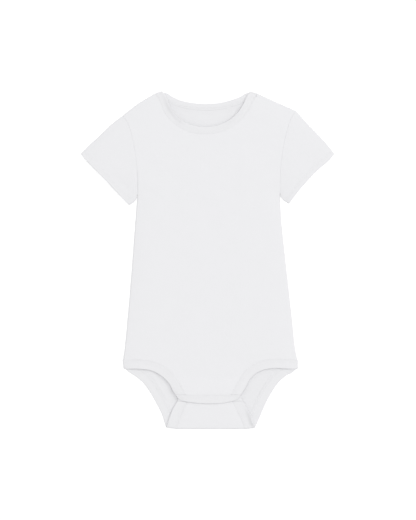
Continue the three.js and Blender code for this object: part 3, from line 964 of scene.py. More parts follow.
@dataclass(frozen=True)
class KnitFinish:
    """White cotton knit: its colour, the size of its loops in millimetres, and how far they stand up."""

    name: str
    colour: tuple[float, float, float]
    stitch: Stitch
    wale: float
    course: float
    relief: float
    # Painted shade: the share by which the colour darkens in the grooves between the loops.
    grooves: float = 0.03
    mottle: float = 0.009
    fibres_per_metre: float = 700
    slubs_per_metre: float = 130
    clouds_per_metre: float = 45

    def material(self) -> bpy.types.Material:
        """Build the finish.

        Returns:
            The material.
        """
        nodes = Nodes(self.name)
        x, y, place = nodes.cloth_place()
        loops = self._loops(nodes, x, y)
        nodes.bump(self._with_fuzz(nodes, loops, place), 0.8, self.relief)
        nodes.link(self._tint(nodes, loops, place), nodes.shader.inputs["Base Color"])
        nodes.set(Roughness=0.93, Sheen_Weight=0.12, Sheen_Roughness=0.5, Specular_IOR_Level=0.2)
        return nodes.material

    def _loops(
        self, nodes: Nodes, x: bpy.types.NodeSocket, y: bpy.types.NodeSocket,
    ) -> bpy.types.NodeSocket:
        """Height of the knitted loops, from 0 to 1.

        Args:
            nodes: the material's nodes.
            x: place across the knit.
            y: place along the knit.

        Returns:
            The height.
        """
        across = nodes.math("MULTIPLY", x, 1 / (self.wale * MM))
        along = nodes.math("MULTIPLY", y, 1 / (self.course * MM))
        turn = nodes.math("MULTIPLY", across, 2 * math.pi)
        if self.stitch is Stitch.REVERSE:
            legs = nodes.math("ADD", 0.75, nodes.math("MULTIPLY", nodes.math("COSINE", turn), 0.2))
            phase = nodes.math("ADD", along, nodes.math("MULTIPLY", nodes.math("COSINE", turn), 0.24))
        else:
            slant = nodes.math("ABSOLUTE", nodes.math("SUBTRACT", nodes.math("FRACT", across), 0.5))
            phase = nodes.math("ADD", along, slant)
            if self.stitch is Stitch.FACE:
                legs = nodes.math("ABSOLUTE", nodes.math("SINE", turn))
            else:
                wave = nodes.math("MULTIPLY", nodes.math("COSINE", turn), 0.5)
                legs = nodes.math("POWER", nodes.math("ADD", wave, 0.5), 0.6)
        wave = nodes.math("COSINE", nodes.math("MULTIPLY", phase, 2 * math.pi))
        rows = nodes.math("ADD", 0.7, nodes.math("MULTIPLY", wave, 0.3))
        return nodes.math("MULTIPLY", legs, rows)

    @staticmethod
    def _noise(
        nodes: Nodes, place: bpy.types.NodeSocket, per_metre: float, detail: float,
    ) -> bpy.types.NodeSocket:
        """Noise over the cloth, from 0 to 1.

        Args:
            nodes: the material's nodes.
            place: place on the cloth.
            per_metre: how many patches fit in a metre.
            detail: how fine it goes.

        Returns:
            The noise.
        """
        noise = nodes.add("ShaderNodeTexNoise", noise_dimensions="2D")
        noise.inputs["Scale"].default_value = per_metre
        noise.inputs["Detail"].default_value = detail
        nodes.link(place, noise.inputs["Vector"])
        return noise.outputs["Fac"]

    def _with_fuzz(
        self, nodes: Nodes, loops: bpy.types.NodeSocket, place: bpy.types.NodeSocket,
    ) -> bpy.types.NodeSocket:
        """The loops with the uneven yarn and short fibres of spun cotton.

        Args:
            nodes: the material's nodes.
            loops: height of the loops.
            place: place on the cloth.

        Returns:
            The height.
        """
        yarn = nodes.math("MULTIPLY", self._noise(nodes, place, self.fibres_per_metre, 3), 0.7)
        uneven = nodes.math("MULTIPLY", self._noise(nodes, place, self.slubs_per_metre, 2), 0.9)
        return nodes.math("ADD", loops, nodes.math("ADD", yarn, uneven))

    def _tint(
        self, nodes: Nodes, loops: bpy.types.NodeSocket, place: bpy.types.NodeSocket,
    ) -> bpy.types.NodeSocket:
        """The colour, with painted shade between the loops, and faintly mottled.

        Args:
            nodes: the material's nodes.
            loops: height of the loops.
            place: place on the cloth.

        Returns:
            The colour.
        """
        # Painted shade: the colour is deepest in the grooves between the loops.
        low = 1 - self.grooves
        depth = nodes.math("ADD", low, nodes.math("MULTIPLY", loops, self.grooves))
        patches = nodes.math("SUBTRACT", self._noise(nodes, place, self.clouds_per_metre, 3), 0.5)
        cloud = nodes.math("MULTIPLY", patches, self.mottle)
        shade = nodes.math("ADD", depth, cloud)
        tint = nodes.add("ShaderNodeCombineColor")
        for socket, part in zip(tint.inputs, self.colour):
            nodes.link(nodes.math("MULTIPLY", shade, part), socket)
        return tint.outputs["Color"]


@dataclass(frozen=True)
class ThreadFinish:
    """Twisted sewing thread."""

    colour: tuple[float, float, float]
    twist: float = 0.35
    relief: float = 0.05

    def material(self) -> bpy.types.Material:
        """Build the finish.

        Returns:
            The material.
        """
        nodes = Nodes("white_sewing_thread")
        place = nodes.add("ShaderNodeTexCoord")
        wave = nodes.add("ShaderNodeTexWave", bands_direction="DIAGONAL")
        wave.inputs["Scale"].default_value = 1 / (self.twist * MM)
        nodes.link(place.outputs["Object"], wave.inputs["Vector"])
        nodes.bump(wave.outputs["Fac"], 0.5, self.relief)
        nodes.set(Base_Color=(*self.colour, 1), Roughness=0.6, Sheen_Weight=0.2)
        return nodes.material


@dataclass(frozen=True)
class SnapFinish:
    """White moulded plastic of the press studs, finely pitted by its mould."""

    colour: tuple[float, float, float]
    pits_per_metre: float = 2500
    pit_depth: float = 0.03

    def material(self) -> bpy.types.Material:
        """Build the finish.

        Returns:
            The material.
        """
        nodes = Nodes("white_snap_plastic")
        place = nodes.add("ShaderNodeTexCoord")
        pits = nodes.add("ShaderNodeTexNoise")
        pits.inputs["Scale"].default_value = self.pits_per_metre
        nodes.link(place.outputs["Object"], pits.inputs["Vector"])
        nodes.bump(pits.outputs["Fac"], 0.25, self.pit_depth)
        nodes.set(Base_Color=(*self.colour, 1), Roughness=0.38)
        return nodes.material


class Finishes:
    """All finishes of the garment, each made once."""

    face_white = (0.824, 0.824, 0.84)
    # A shade deeper than the face: painted shade that darkens the sleeves.
    sleeve_white = (0.818, 0.818, 0.834)
    # A shade deeper than the face: painted shade for the inside of the garment, seen through its openings.
    reverse_white = (0.80, 0.80, 0.815)
    band_white = (0.805, 0.805, 0.82)

    def __init__(self) -> None:
        """Make the materials."""
        outside = (Stitch.FACE, 0.9, 0.75, 0.08)
        inside = (Stitch.REVERSE, 0.9, 0.75, 0.09)
        self.sleeve = KnitFinish("white_jersey_sleeve", self.sleeve_white, *outside).material()
        self.face = KnitFinish("white_jersey_face", self.face_white, *outside).material()
        self.reverse = KnitFinish("white_jersey_reverse", self.reverse_white, *inside).material()
        self.band = KnitFinish("white_band_knit", self.band_white, Stitch.RIB, 1.15, 0.8, 0.1).material()
        self.thread = ThreadFinish((0.80, 0.80, 0.81)).material()
        self.snap = SnapFinish((0.82, 0.82, 0.80)).material()


@dataclass
class Wall:
    """A closed wall of cloth as rows of stations, each with an outer and an inner point.

    across and along are the cloth's own coordinates at each station, for its knit.
    """

    outer: Points
    inner: Points
    across: Points
    along: Points
    closed: bool = False

    def _faces(self) -> tuple[Points, Points]:
        """Corners of every face, as indices of stations, and which faces are on the inner side.

        Returns:
            Corners of each face, and 1 for each face on the inner side.
        """
        rows, columns = self.outer.shape[:2]
        count = rows + 1 if self.closed else rows
        index = np.arange(count * columns).reshape(count, columns)
        corners = [index[:-1, :-1], index[:-1, 1:], index[1:, 1:], index[1:, :-1]]
        outside = np.stack(corners, axis=-1).reshape(-1, 4)
        inner_shift = (rows + 1) * columns
        inside = outside[:, ::-1] + inner_shift
        borders = [(index[:, 0], False), (index[:, -1], True)]
        if not self.closed:
            borders += [(index[0], True), (index[-1], False)]
        rims = []
        for line, inner_first in borders:
            near, far = (line + inner_shift, line) if inner_first else (line, line + inner_shift)
            rims.append(np.stack([near[:-1], near[1:], far[1:], far[:-1]], axis=1))
        faces = np.vstack([outside, inside, *rims])
        reverse = np.zeros(len(faces), dtype=np.int32)
        reverse[len(outside):len(outside) + len(inside)] = 1
        return faces, reverse

    def _cloth_places(self) -> Points:
        """The cloth's own coordinates at each station, and again for the first row of a loop.

        Returns:
            Two coordinates for each station.
        """
        across, along = self.across, self.along
        if self.closed:
            gap = np.linalg.norm(self.outer[0] - self.outer[-1], axis=-1).mean()
            across = np.vstack([across, across[-1:] + gap])
            along = np.vstack([along, along[:1]])
        return np.stack([across, along], axis=-1).reshape(-1, 2)

    def build(self, name: str, face: bpy.types.Material, reverse: bpy.types.Material) -> bpy.types.Object:
        """Make the wall's object.

        Args:
            name: the piece's name.
            face: finish of the outer side and the rims.
            reverse: finish of the inner side.

        Returns:
            The object.
        """
        rows, columns = self.outer.shape[:2]
        faces, inner_faces = self._faces()
        half = (rows + 1) * columns
        inside, station = faces >= half, faces % half
        wrapped = station % (rows * columns) + inside * rows * columns
        points = np.vstack([self.outer.reshape(-1, 3), self.inner.reshape(-1, 3)]) * MM
        points[:, 2] = np.maximum(points[:, 2], 0)
        a, b, c, d = (points[wrapped[:, k]] for k in range(4))
        volume = (np.cross(b, c) * a).sum() + (np.cross(c, d) * a).sum()
        corners = wrapped if volume > 0 else wrapped[:, ::-1]
        places = station if volume > 0 else station[:, ::-1]
        cloth = self._cloth_places() * MM
        mesh = bpy.data.meshes.new(name)
        mesh.vertices.add(len(points))
        mesh.vertices.foreach_set("co", points.ravel())
        mesh.loops.add(corners.size)
        mesh.loops.foreach_set("vertex_index", corners.ravel().astype(np.int32))
        mesh.polygons.add(len(corners))
        mesh.polygons.foreach_set("loop_start", np.arange(0, corners.size, 4, dtype=np.int32))
        mesh.polygons.foreach_set("material_index", inner_faces)
        mesh.polygons.foreach_set("use_smooth", np.ones(len(corners), dtype=bool))
        layer = mesh.uv_layers.new(name="cloth")
        layer.data.foreach_set("uv", cloth[places.ravel()].ravel())
        mesh.materials.append(face)
        mesh.materials.append(reverse)
        mesh.update(calc_edges=True)
        mesh.validate()
        return placed(name, mesh)


@dataclass(frozen=True)
class Thread:
    """Sewing thread laid in single stitches, each an arch whose tips sink into the cloth and are thinner."""

    radius: float = 0.19
    length: float = 2.25
    pitch: float = 2.85
    rise: float = 0.2
    sink: float = 0.1
    tip: float = 0.45
    sides: int = 6
    rings: int = 6

    def stitches(self, path: Points, normals: Points, seed: int) -> tuple[Points, Points]:
        """Single stitches along a path on the cloth.

        Args:
            path: points on the cloth.
            normals: the way out of the cloth at each.
            seed: which unevenness.

        Returns:
            Points and quads of the stitches.
        """
        reach = lengths_along(path)
        count = max(2, round(reach[-1] / self.pitch))
        step = reach[-1] / count
        chance = np.random.default_rng(seed)
        centres = (np.arange(count) + 0.5) * step + chance.uniform(-0.09, 0.09, count)
        size = self.length * step / self.pitch * chance.uniform(0.93, 1.05, count)
        starts, ends = (self.at(path, reach, centres + size * half) for half in (-0.5, 0.5))
        up = unit(self.at(normals, reach, centres))
        return self.capsules(starts, ends, up)

    @staticmethod
    def at(values: Points, reach: Points, where: Points) -> Points:
        """Values of a path at distances along it."""
        where = np.clip(where, 0, reach[-1])
        return np.stack([np.interp(where, reach, values[:, k]) for k in range(3)], axis=-1)

    def capsules(self, starts: Points, ends: Points, up: Points) -> tuple[Points, Points]:
        """Arched strands of thread from start to end, sinking into the cloth at both.

        Args:
            starts: where each strand begins.
            ends: where each strand ends.
            up: the way out of the cloth at each.

        Returns:
            Points and quads of all strands.
        """
        t = np.linspace(0, 1, self.rings)
        arch = (np.sin(np.pi * t) ** 0.6) * self.rise - self.sink
        girth = self.radius * (self.tip + (1 - self.tip) * np.sin(np.pi * t) ** 0.5)
        angle = np.linspace(0, 2 * np.pi, self.sides, endpoint=False)
        along = unit(ends - starts)
        aside = unit(np.cross(up, along))
        middle = starts[:, None] + (ends - starts)[:, None] * t[None, :, None]
        centre = middle + up[:, None] * arch[None, :, None]
        ring = (aside[:, None, None] * np.cos(angle)[None, None, :, None]
                + up[:, None, None] * np.sin(angle)[None, None, :, None])
        points = centre[:, :, None] + ring * girth[None, :, None, None]
        count, rings, sides = len(starts), self.rings, self.sides
        base = (np.arange(count) * rings * sides)[:, None, None]
        r, s = np.meshgrid(np.arange(rings - 1), np.arange(sides), indexing="ij")
        turn = (s + 1) % sides
        here, above = r * sides, (r + 1) * sides
        quads = np.stack([here + s, here + turn, above + turn, above + s], axis=-1)
        return points.reshape(-1, 3), (base[..., None] + quads[None]).reshape(-1, 4)


THREAD = Thread()


@dataclass
class Sewing:
    """All the thread on one piece of the garment, joined into one mesh."""

    points: list[Points] = field(default_factory=list)
    quads: list[Points] = field(default_factory=list)

    def add(self, made: tuple[Points, Points]) -> None:
        """Take in more thread.

        Args:
            made: points and quads of it.
        """
        shift = sum(len(part) for part in self.points)
        self.points.append(made[0])
        self.quads.append(made[1] + shift)

    def row(self, path: Points, normals: Points, seed: int) -> None:
        """Sew a row of single stitches along a path."""
        self.add(THREAD.stitches(path, normals, seed))

    def looper(self, first: Points, second: Points, normals: Points) -> None:
        """Lay the zigzag of a cover stitch's under side between two rows.

        Args:
            first: one row.
            second: the other row.
            normals: the way out of the cloth at each point.
        """
        reach = lengths_along(first)
        count = max(2, round(reach[-1] / THREAD.pitch))
        where = np.linspace(0, reach[-1], count + 1)
        one, two, up = (THREAD.at(values, reach, where) for values in (first, second, normals))
        middles = (two[:-1] + two[1:]) / 2
        up = unit(up)
        starts = np.vstack([one[:-1], middles])
        ends = np.vstack([middles, one[1:]])
        self.add(THREAD.capsules(starts, ends, np.vstack([up[:-1], up[1:]])))

    def build(self, name: str, finish: bpy.types.Material) -> bpy.types.Object:
        """Make the thread's object.

        Args:
            name: the piece's name.
            finish: the thread's material.

        Returns:
            The object.
        """
        mesh = bpy.data.meshes.new(name)
        points = np.vstack(self.points) * MM
        points[:, 2] = np.maximum(points[:, 2], 0)
        mesh.from_pydata(points.tolist(), [], np.vstack(self.quads).tolist())
        mesh.polygons.foreach_set("use_smooth", np.ones(len(mesh.polygons), dtype=bool))
        mesh.materials.append(finish)
        return placed(name, mesh)


def hand_over(piece: bpy.types.Object, slot: str, *nodes: str) -> None:
    """Let a piece stand for its solids and ride with the garment, and log it.

    Args:
        piece: its object.
        slot: not used.
    """
    if nodes:
        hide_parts(*nodes)
    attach(piece, "root")
    LOG.info("%s: %d faces", piece.name, len(piece.data.polygons))


@dataclass
class PanelShell:
    """How a panel's cloth is shaped near its borders."""

    closed_radius: float = 1.6
    rim: float = 0.4
    ditch: float = 0.06
    ditch_spread: float = 1.5
    tuck: float = 0.09
    tuck_radius: float = 0.3
    meet: float = 1.42

    def _tuck(self, sewn: Points) -> Points:
        """How far the cloth turns down right at a sewn border."""
        return self.tuck * (1 - rounded(sewn, self.tuck_radius))

    def upper(self, flat: Points, top: Points, closed: Points, sewn: Points) -> tuple[Points, Points]:
        """The upper layer's outer and inner surface.

        Args:
            flat: places in the flat.
            top: height of the outer surface away from all borders.
            closed: distance to the borders that the lower layer shares.
            sewn: distance to the borders that are sewn to another piece.

        Returns:
            Outer and inner points.
        """
        top = top - self.ditch * hump(sewn, self.ditch_spread)
        top = self.meet + (top - self.meet) * rounded(closed, self.closed_radius)
        wall = CLOTH * np.maximum(rounded(closed, self.rim), 0.08)
        outer = np.dstack([flat, top - self._tuck(sewn) * rounded(closed, self.closed_radius)])
        inner = np.dstack([flat, top - wall])
        return outer, inner

    def lower(self, flat: Points, lift: Points, closed: Points, sewn: Points) -> tuple[Points, Points]:
        """The lower layer's outer and inner surface, from the height of its under side.

        Args:
            flat: places in the flat.
            lift: height of the layer's under side.
            closed: distance to the borders that the upper layer shares.
            sewn: distance to the borders that are sewn to another piece.

        Returns:
            Outer and inner points.
        """
        meet = self.meet - 0.16
        under = lift + 0.5 * self.ditch * hump(sewn, self.ditch_spread)
        under = under + (meet - under) * (1 - rounded(closed, self.closed_radius))
        wall = CLOTH * np.maximum(rounded(closed, self.rim), 0.08)
        tuck = self._tuck(sewn) * rounded(closed, self.closed_radius)
        return np.dstack([flat, under + tuck]), np.dstack([flat, under + wall - tuck])


@dataclass
class FrontPanel:
    """The front, from the neck band and shoulders to the leg bands and the flap's end band.

    waves is the rise of its settled waves, each pair of puckers holds a rise and a spread, and fade is the
    length over which all relief dies away towards the closed edges. The flat sizes are in metres.
    """

    columns: int = 170
    rows: int = 176
    ease: float = 0.93
    flat_width: float = 0.219
    flat_length: float = 0.376
    flat_area: float = 0.0626
    waves: float = 0.1
    band_puckers: Row = (0.06, 5)
    armhole_puckers: Row = (0.035, 4)
    fade: float = 5
    shell: PanelShell = field(default_factory=PanelShell)

    def wall(self) -> Wall:
        """Shape the panel.

        Returns:
            Its wall.
        """
        sides = {side: PATTERN.side(side) for side in Side}
        legs = {side: PATTERN.front_leg(side).beside() for side in Side}
        flap_y = FLAP_SEAM_Y + SEAM_GAP
        for leg in legs.values():
            leg[-1, 1] = flap_y
        ends = [legs[side][-1] for side in Side]
        flap = np.linspace(*ends, STEPS.flap * STEPS.finer + 1)
        bottom = np.vstack([
            sides[Side.LEFT][-1:], legs[Side.LEFT], flap[1:-1],
            legs[Side.RIGHT][::-1], sides[Side.RIGHT][-1:],
        ])
        top = PATTERN.top(PATTERN.front_neck)
        u = on_corners(graded(self.columns, self.ease), top, bottom)
        v = on_corners(graded(self.rows, self.ease), sides[Side.LEFT])
        flat = fill_between(top, bottom, sides[Side.LEFT], sides[Side.RIGHT], u, v)
        neck = PATTERN.front_neck.beside()
        armholes = [PATTERN.armhole(side, -1) for side in Side]
        sewn = distance_to(flat, [neck, *armholes, *legs.values(), flap])
        closed = distance_to(flat, PATTERN.joined())
        height = upper_mid(flat, PANEL_EDGE_MID) + SOLID_CLOTH / 2 + UPPER_EDGES.lift(flat)
        fade = 1 - np.exp(-distance_to(flat, PATTERN.closed_edges) / self.fade)
        height = height + self._relief(flat, neck, legs) * fade
        outer, inner = self.shell.upper(flat, height, closed, sewn)
        return Wall(outer, inner, flat[..., 0], flat[..., 1])

    def _relief(self, flat: Points, neck: Points, legs: dict[Side, Points]) -> Points:
        """Creases, faint waves and puckers of the panel.

        Args:
            flat: places in the flat.
            neck: the neck seam.
            legs: the leg seams.

        Returns:
            A height for each point.
        """
        relief = sum(crease.height(flat) for crease in FRONT_CREASES) + settled(flat, self.waves, 3)
        relief = relief + puckers(flat, neck, *self.band_puckers, 11)
        for side in Side:
            relief = relief + puckers(flat, legs[side], *self.band_puckers, 12 + side.value)
            armhole = PATTERN.armhole(side, -1)
            relief = relief + puckers(flat, armhole, *self.armhole_puckers, 15 + side.value)
        return relief

    def dress(self, finishes: Finishes) -> bpy.types.Object:
        """Args:
            finishes: the garment's materials.

        Returns:
            Its object.
        """
        piece = self.wall().build("front_jersey", finishes.face, finishes.reverse)
        hand_over(piece, "jersey", "front_panel")
        return piece


@dataclass
class BackPanel:
    """The back, down to the crotch fold and up again as the tail under the flap.

    loft is how far it lies above the surface, waves the rise of its settled waves, and fade the length over
    which both die away towards its edges. The flat sizes are in metres.
    """

    columns: int = 170
    rows: int = 190
    ease: float = 0.93
    fold_rows: int = 14
    tail_rows: int = 34
    loft: float = 0.05
    waves: float = 0.04
    fade: float = 5
    seam_lift: float = 0.45
    seam_spread: float = 4
    tail_puff: float = 0.5
    flat_width: float = 0.219
    flat_length: float = 0.455
    flat_area: float = 0.0752
    shell: PanelShell = field(default_factory=PanelShell)

    def wall(self) -> Wall:
        """Shape the panel.

        Returns:
            Its wall.
        """
        legs, borders = {}, {}
        for side in Side:
            leg = PATTERN.back_leg(side).beside()
            leg[-1] = (HALVES[side].fold_seam_x - SEAM_GAP * side.value, FOLD_Y)
            legs[side] = leg
            borders[side] = np.vstack([PATTERN.side(side), leg])
        top = PATTERN.top(PATTERN.back_neck)
        fold = [borders[side][-1] for side in Side]
        bottom = np.linspace(*fold, len(top))
        u = on_corners(graded(self.columns, self.ease), top)
        v = on_corners(graded(self.rows, 0.8), borders[Side.LEFT])
        flat = fill_between(top, bottom, borders[Side.LEFT], borders[Side.RIGHT], u, v)
        neck = PATTERN.back_neck.beside()
        armholes = [PATTERN.armhole(side, -1) for side in Side]
        sewn = distance_to(flat, [neck, *armholes, *legs.values()])
        closed = distance_to(flat, PATTERN.joined())
        lift = sum(crease.height(flat) for crease in BACK_CREASES) + self.loft + settled(flat, self.waves, 5)
        beside_bands = hump(distance_to(flat, [neck, *legs.values()]), self.seam_spread)
        lift = np.maximum(lift, 0) + self.seam_lift * beside_bands
        fade = 1 - np.exp(-np.minimum(closed, flat[..., 1] - FOLD_Y) / self.fade)
        outer, inner = self.shell.lower(flat, lift * fade, closed, sewn)
        parts = [(outer, inner), self._fold(bottom, u), self._tail(u)]
        outer, inner = (np.vstack([part[k] for part in parts]) for k in (0, 1))
        middle = lengths_along(outer[:, self.columns // 2])
        start = self.rows
        along = outer[..., 1].copy()
        along[start:] = FOLD_Y - (middle[start:] - middle[start])[:, None]
        return Wall(outer, inner, outer[..., 0], along)

    def _fold(self, bottom: Points, u: Points) -> tuple[Points, Points]:
        """The half turn at the crotch.

        Args:
            bottom: the fold line.
            u: shares across, one for each column.

        Returns:
            Outer and inner points.
        """
        across = bottom[0] + (bottom[-1] - bottom[0]) * u[:, None]
        radius = (TAIL_MID + SOLID_CLOTH / 2) / 2
        angles = np.linspace(0, math.pi, self.fold_rows)[1:-1, None]
        side = np.minimum(across[:, 0] - across[0, 0], across[-1, 0] - across[:, 0])[None]
        wall = np.full_like(side, CLOTH)
        dip = 0.5 * self.shell.ditch * hump(side, self.shell.ditch_spread)

        def ring(reach: Points) -> Points:
            """Points of the turn at a reach from its middle.

            Args:
                reach: distance from the middle of the turn.

            Returns:
                Points of the turn.
            """
            x = np.broadcast_to(across[:, 0], reach.shape)
            y = across[:, 1] - reach * np.sin(angles)
            return np.dstack([x, y, radius - reach * np.cos(angles)])

        ones = np.ones_like(angles)
        return ring((radius - dip) * ones), ring((radius - dip - wall) * ones)

    def _tail(self, u: Points) -> tuple[Points, Points]:
        """The turned-up tail.

        Args:
            u: shares across, one for each column.

        Returns:
            Outer and inner points.
        """
        sides = {}
        for side in Side:
            border = PATTERN.tail(side).beside()
            border[0] = (HALVES[side].fold_seam_x - SEAM_GAP * side.value, FOLD_Y)
            sides[side] = border
        v = graded(self.tail_rows, 0.6)
        left, right = (sampled(sides[side], v) for side in Side)
        share = u[None, :, None]
        flat = left[:, None] * (1 - share) + right[:, None] * share
        last = flat[-1]
        sewn = distance_to(flat, [*sides.values(), last])
        far = np.full(flat.shape[:2], 1e3)
        fade = 1 - np.exp(-(flat[..., 1] - FOLD_Y) / 4)
        beside = 1 - np.exp(-distance_to(flat, list(sides.values())) / 6)
        puff = self.tail_puff * beside * smooth(distance_to(flat, [last]) / 3)
        top = TAIL_MID + SOLID_CLOTH / 2 + (puff + settled(flat, 0.05, 8)) * fade
        return self.shell.upper(flat, top, far, sewn)

    def dress(self, finishes: Finishes) -> bpy.types.Object:
        """Args:
            finishes: the garment's materials.

        Returns:
            Its object.
        """
        piece = self.wall().build("back_jersey", finishes.face, finishes.reverse)
        hand_over(piece, "jersey", "back_panel")
        return piece


@dataclass
class BandShape:
    """Cross-section of a doubled band: its fold, its seam side and the ditches under its stitches."""

    stations: int = 26
    ease: float = 0.9
    fold_radius: float = 0.85
    seam_radius: float = 0.4
    seam_drop: float = 0.2
    rows_from_seam: tuple[float, float] = (1.4, 3.9)
    ditch: float = 0.1
    ditch_spread: float = 0.55
    fullness: float = 0.05
    pucker: float = 0.05

    @staticmethod
    def _lift(points: Points, hangs: Points) -> Points:
        """How far a band's points stand up or sink, by the layer that they hang from."""
        upper = (hangs == Layer.UPPER.value) * UPPER_EDGES.lift(points)
        return upper + (hangs == Layer.TAIL.value) * TAIL_EDGES.lift(points)

    def wall(
        self, edge: Points, seam: Points, out: Points, closed: bool, seed: int, free_ends: float = 0.0,
        hangs: Optional[Points] = None,
    ) -> tuple[Wall, Callable[[float, int], Points]]:
        """Shape a band from its two edges.

        Args:
            edge: middle of the free edge, row by row.
            seam: middle of the sewn edge, row by row.
            out: the way out of the cloth at each row.
            closed: whether the band is a loop.
            seed: which unevenness.
            free_ends: radius of the rounding at the ends of an open band, 0 for sewn ends.
            hangs: the value of the Layer that each row belongs to, or nothing where none is lifted.

        Returns:
            The wall, and a function that gives the line at a distance from the seam on the outer (1) or
            inner (-1) surface.
        """
        share = graded(self.stations, self.ease)[None, :]
        width = np.linalg.norm(seam - edge, axis=1)[:, None]
        hangs = np.zeros(len(edge)) if hangs is None else hangs
        middle = edge[:, None] * (1 - share[..., None]) + seam[:, None] * share[..., None]
        middle[..., 2] += self._lift(middle, hangs[:, None])
        line = (edge + seam) / 2
        travel = lengths_along(line)
        half = SOLID_BAND / 2 * rounded(share * width, self.fold_radius)
        half = half - self.seam_drop * (1 - rounded((1 - share) * width, self.seam_radius))
        if not closed:
            end = np.minimum(travel, travel[-1] - travel)[:, None]
            half = half * (1 - 0.9 * (free_ends > 0) * (1 - rounded(end, max(free_ends, 0.1))))
        half = np.maximum(half, 0.05)
        from_seam = (1 - share) * width
        sunk = sum(hump(from_seam - row, self.ditch_spread) for row in self.rows_from_seam) * self.ditch
        fuller = self.fullness * hump(share * width - 2.2, 1.6)
        waves = self.pucker * ripple(travel, seed)[:, None] * hump(from_seam - 2.6, 4.0)
        relief = (fuller - sunk + waves) * smooth((half - 0.3) / 0.4)
        outer = middle + out[:, None] * np.minimum(half + relief, SOLID_BAND / 2 + 0.1)[..., None]
        inner = middle - out[:, None] * (half - 0.5 * sunk)[..., None]
        across = np.broadcast_to(travel[:, None], half.shape)
        along = share * width

        def on_surface(distance: float, face: int) -> Points:
            """The line at a distance from the seam on one surface.

            Args:
                distance: distance from the seam.
                face: 1 for the outer surface, -1 for the inner.

            Returns:
                Points, row by row.
            """
            where = 1 - distance / width
            depth = SOLID_BAND / 2 - self.ditch * (1.0 if face > 0 else 0.5) + 0.04
            place = edge + (seam - edge) * where
            place[:, 2] += self._lift(place, hangs)
            return place + out * (face * depth)

        return Wall(outer, inner, across, along, closed), on_surface


@dataclass
class Ribbon:
    """Rows of a band in space, made stretch by stretch."""

    edge: list[Points] = field(default_factory=list)
    seam: list[Points] = field(default_factory=list)
    out: list[Points] = field(default_factory=list)
    hangs: list[Points] = field(default_factory=list)

    def lay(self, edges: BandEdges, height: Callable[[Points], Points], up: int) -> int:
        """Add a flat stretch, and say how many rows it has.

        Args:
            edges: its edges in the flat.
            height: middle height from places in the flat.
            up: 1 where the garment's outside faces up, -1 where it faces down.

        Returns:
            The number of rows.
        """
        self.edge.append(np.column_stack([edges.edge, height(edges.edge)]))
        self.seam.append(np.column_stack([edges.seam, height(edges.seam)]))
        self.out.append(np.tile([0.0, 0.0, float(up)], (len(edges.edge), 1)))
        layer = {upper_band_mid: Layer.UPPER, tail_band_mid: Layer.TAIL}.get(height, Layer.NONE)
        self.hangs.append(np.full(len(edges.edge), layer.value))
        return len(edges.edge)

    def turn(
        self, edge: Points, seam: Points, outward: Points, upper: float, steps: int, down: bool,
    ) -> None:
        """Add a half turn between the upper and the lower layer around a folded end.

        Args:
            edge: the free edge's place in the flat.
            seam: the seam's place in the flat.
            outward: the way that the fold faces.
            upper: middle height of the upper layer there.
            steps: stretches of the turn.
            down: whether it runs from the upper layer to the lower.
        """
        low = SOLID_BAND / 2
        angles = np.linspace(0, math.pi, steps + 1)[1:-1]
        if not down:
            angles = angles[::-1]
        way = np.column_stack([np.outer(np.sin(angles), outward), np.cos(angles)])
        for rows, place in ((self.edge, edge), (self.seam, seam)):
            centre = np.array([*place, (upper + low) / 2])
            rows.append(centre + way * (upper - low) / 2)
        self.out.append(way)
        self.hangs.append(np.zeros(len(way)))

    def joined(self) -> tuple[Points, Points, Points, Points]:
        """All rows as arrays: free edge, seam, the way out, and the layer's value."""
        return np.vstack(self.edge), np.vstack(self.seam), np.vstack(self.out), np.concatenate(self.hangs)


def upper_band_mid(flat: Points) -> Points:
    """Middle height of a band on the upper layer."""
    return upper_mid(flat, BAND_EDGE_MID, BAND_TURN_RADIUS)


def lower_band_mid(flat: Points) -> Points:
    """Middle height of a band on the lower layer."""
    return np.full(len(flat), SOLID_BAND / 2)


def tail_band_mid(flat: Points) -> Points:
    """Middle height of a band on the turned-up tail."""
    return np.full(len(flat), TAIL_MID)


def sew_band(sewing: Sewing, on_surface: Callable[[float, int], Points], out: Points, face: int, seed: int,
             rows: slice = slice(None), shape: BandShape = BandShape()) -> None:
    """Sew a cover stitch on one surface of a band.

    Args:
        sewing: where the thread goes.
        on_surface: gives a line on the band.
        out: the way out of the cloth at each row.
        face: 1 for the two needle rows outside, -1 for the looper's zigzag inside.
        seed: which unevenness.
        rows: the stretch to sew.
        shape: the band's cross-section.
    """
    near, far = (on_surface(distance, face)[rows] for distance in shape.rows_from_seam)
    normals = out[rows] * face
    if face > 0:
        sewing.row(near, normals, seed)
        sewing.row(far, normals, seed + 1)
    else:
        sewing.looper(near, far, normals)


def declare_band(edge: Points, seam: Points, closed: bool) -> None:
    """Work out a band's length, the mean of the lengths of its two edges; the result is not used.

    Args:
        edge: the free edge's points.
        seam: the seam's points.
        closed: whether the band is a loop.
    """
    def length(line: Points) -> float:
        """Length of a line, round to its start where it is a loop."""
        around = np.vstack([line, line[:1]]) if closed else line
        return float(lengths_along(around)[-1]) * MM

    run = (length(edge) + length(seam)) / 2


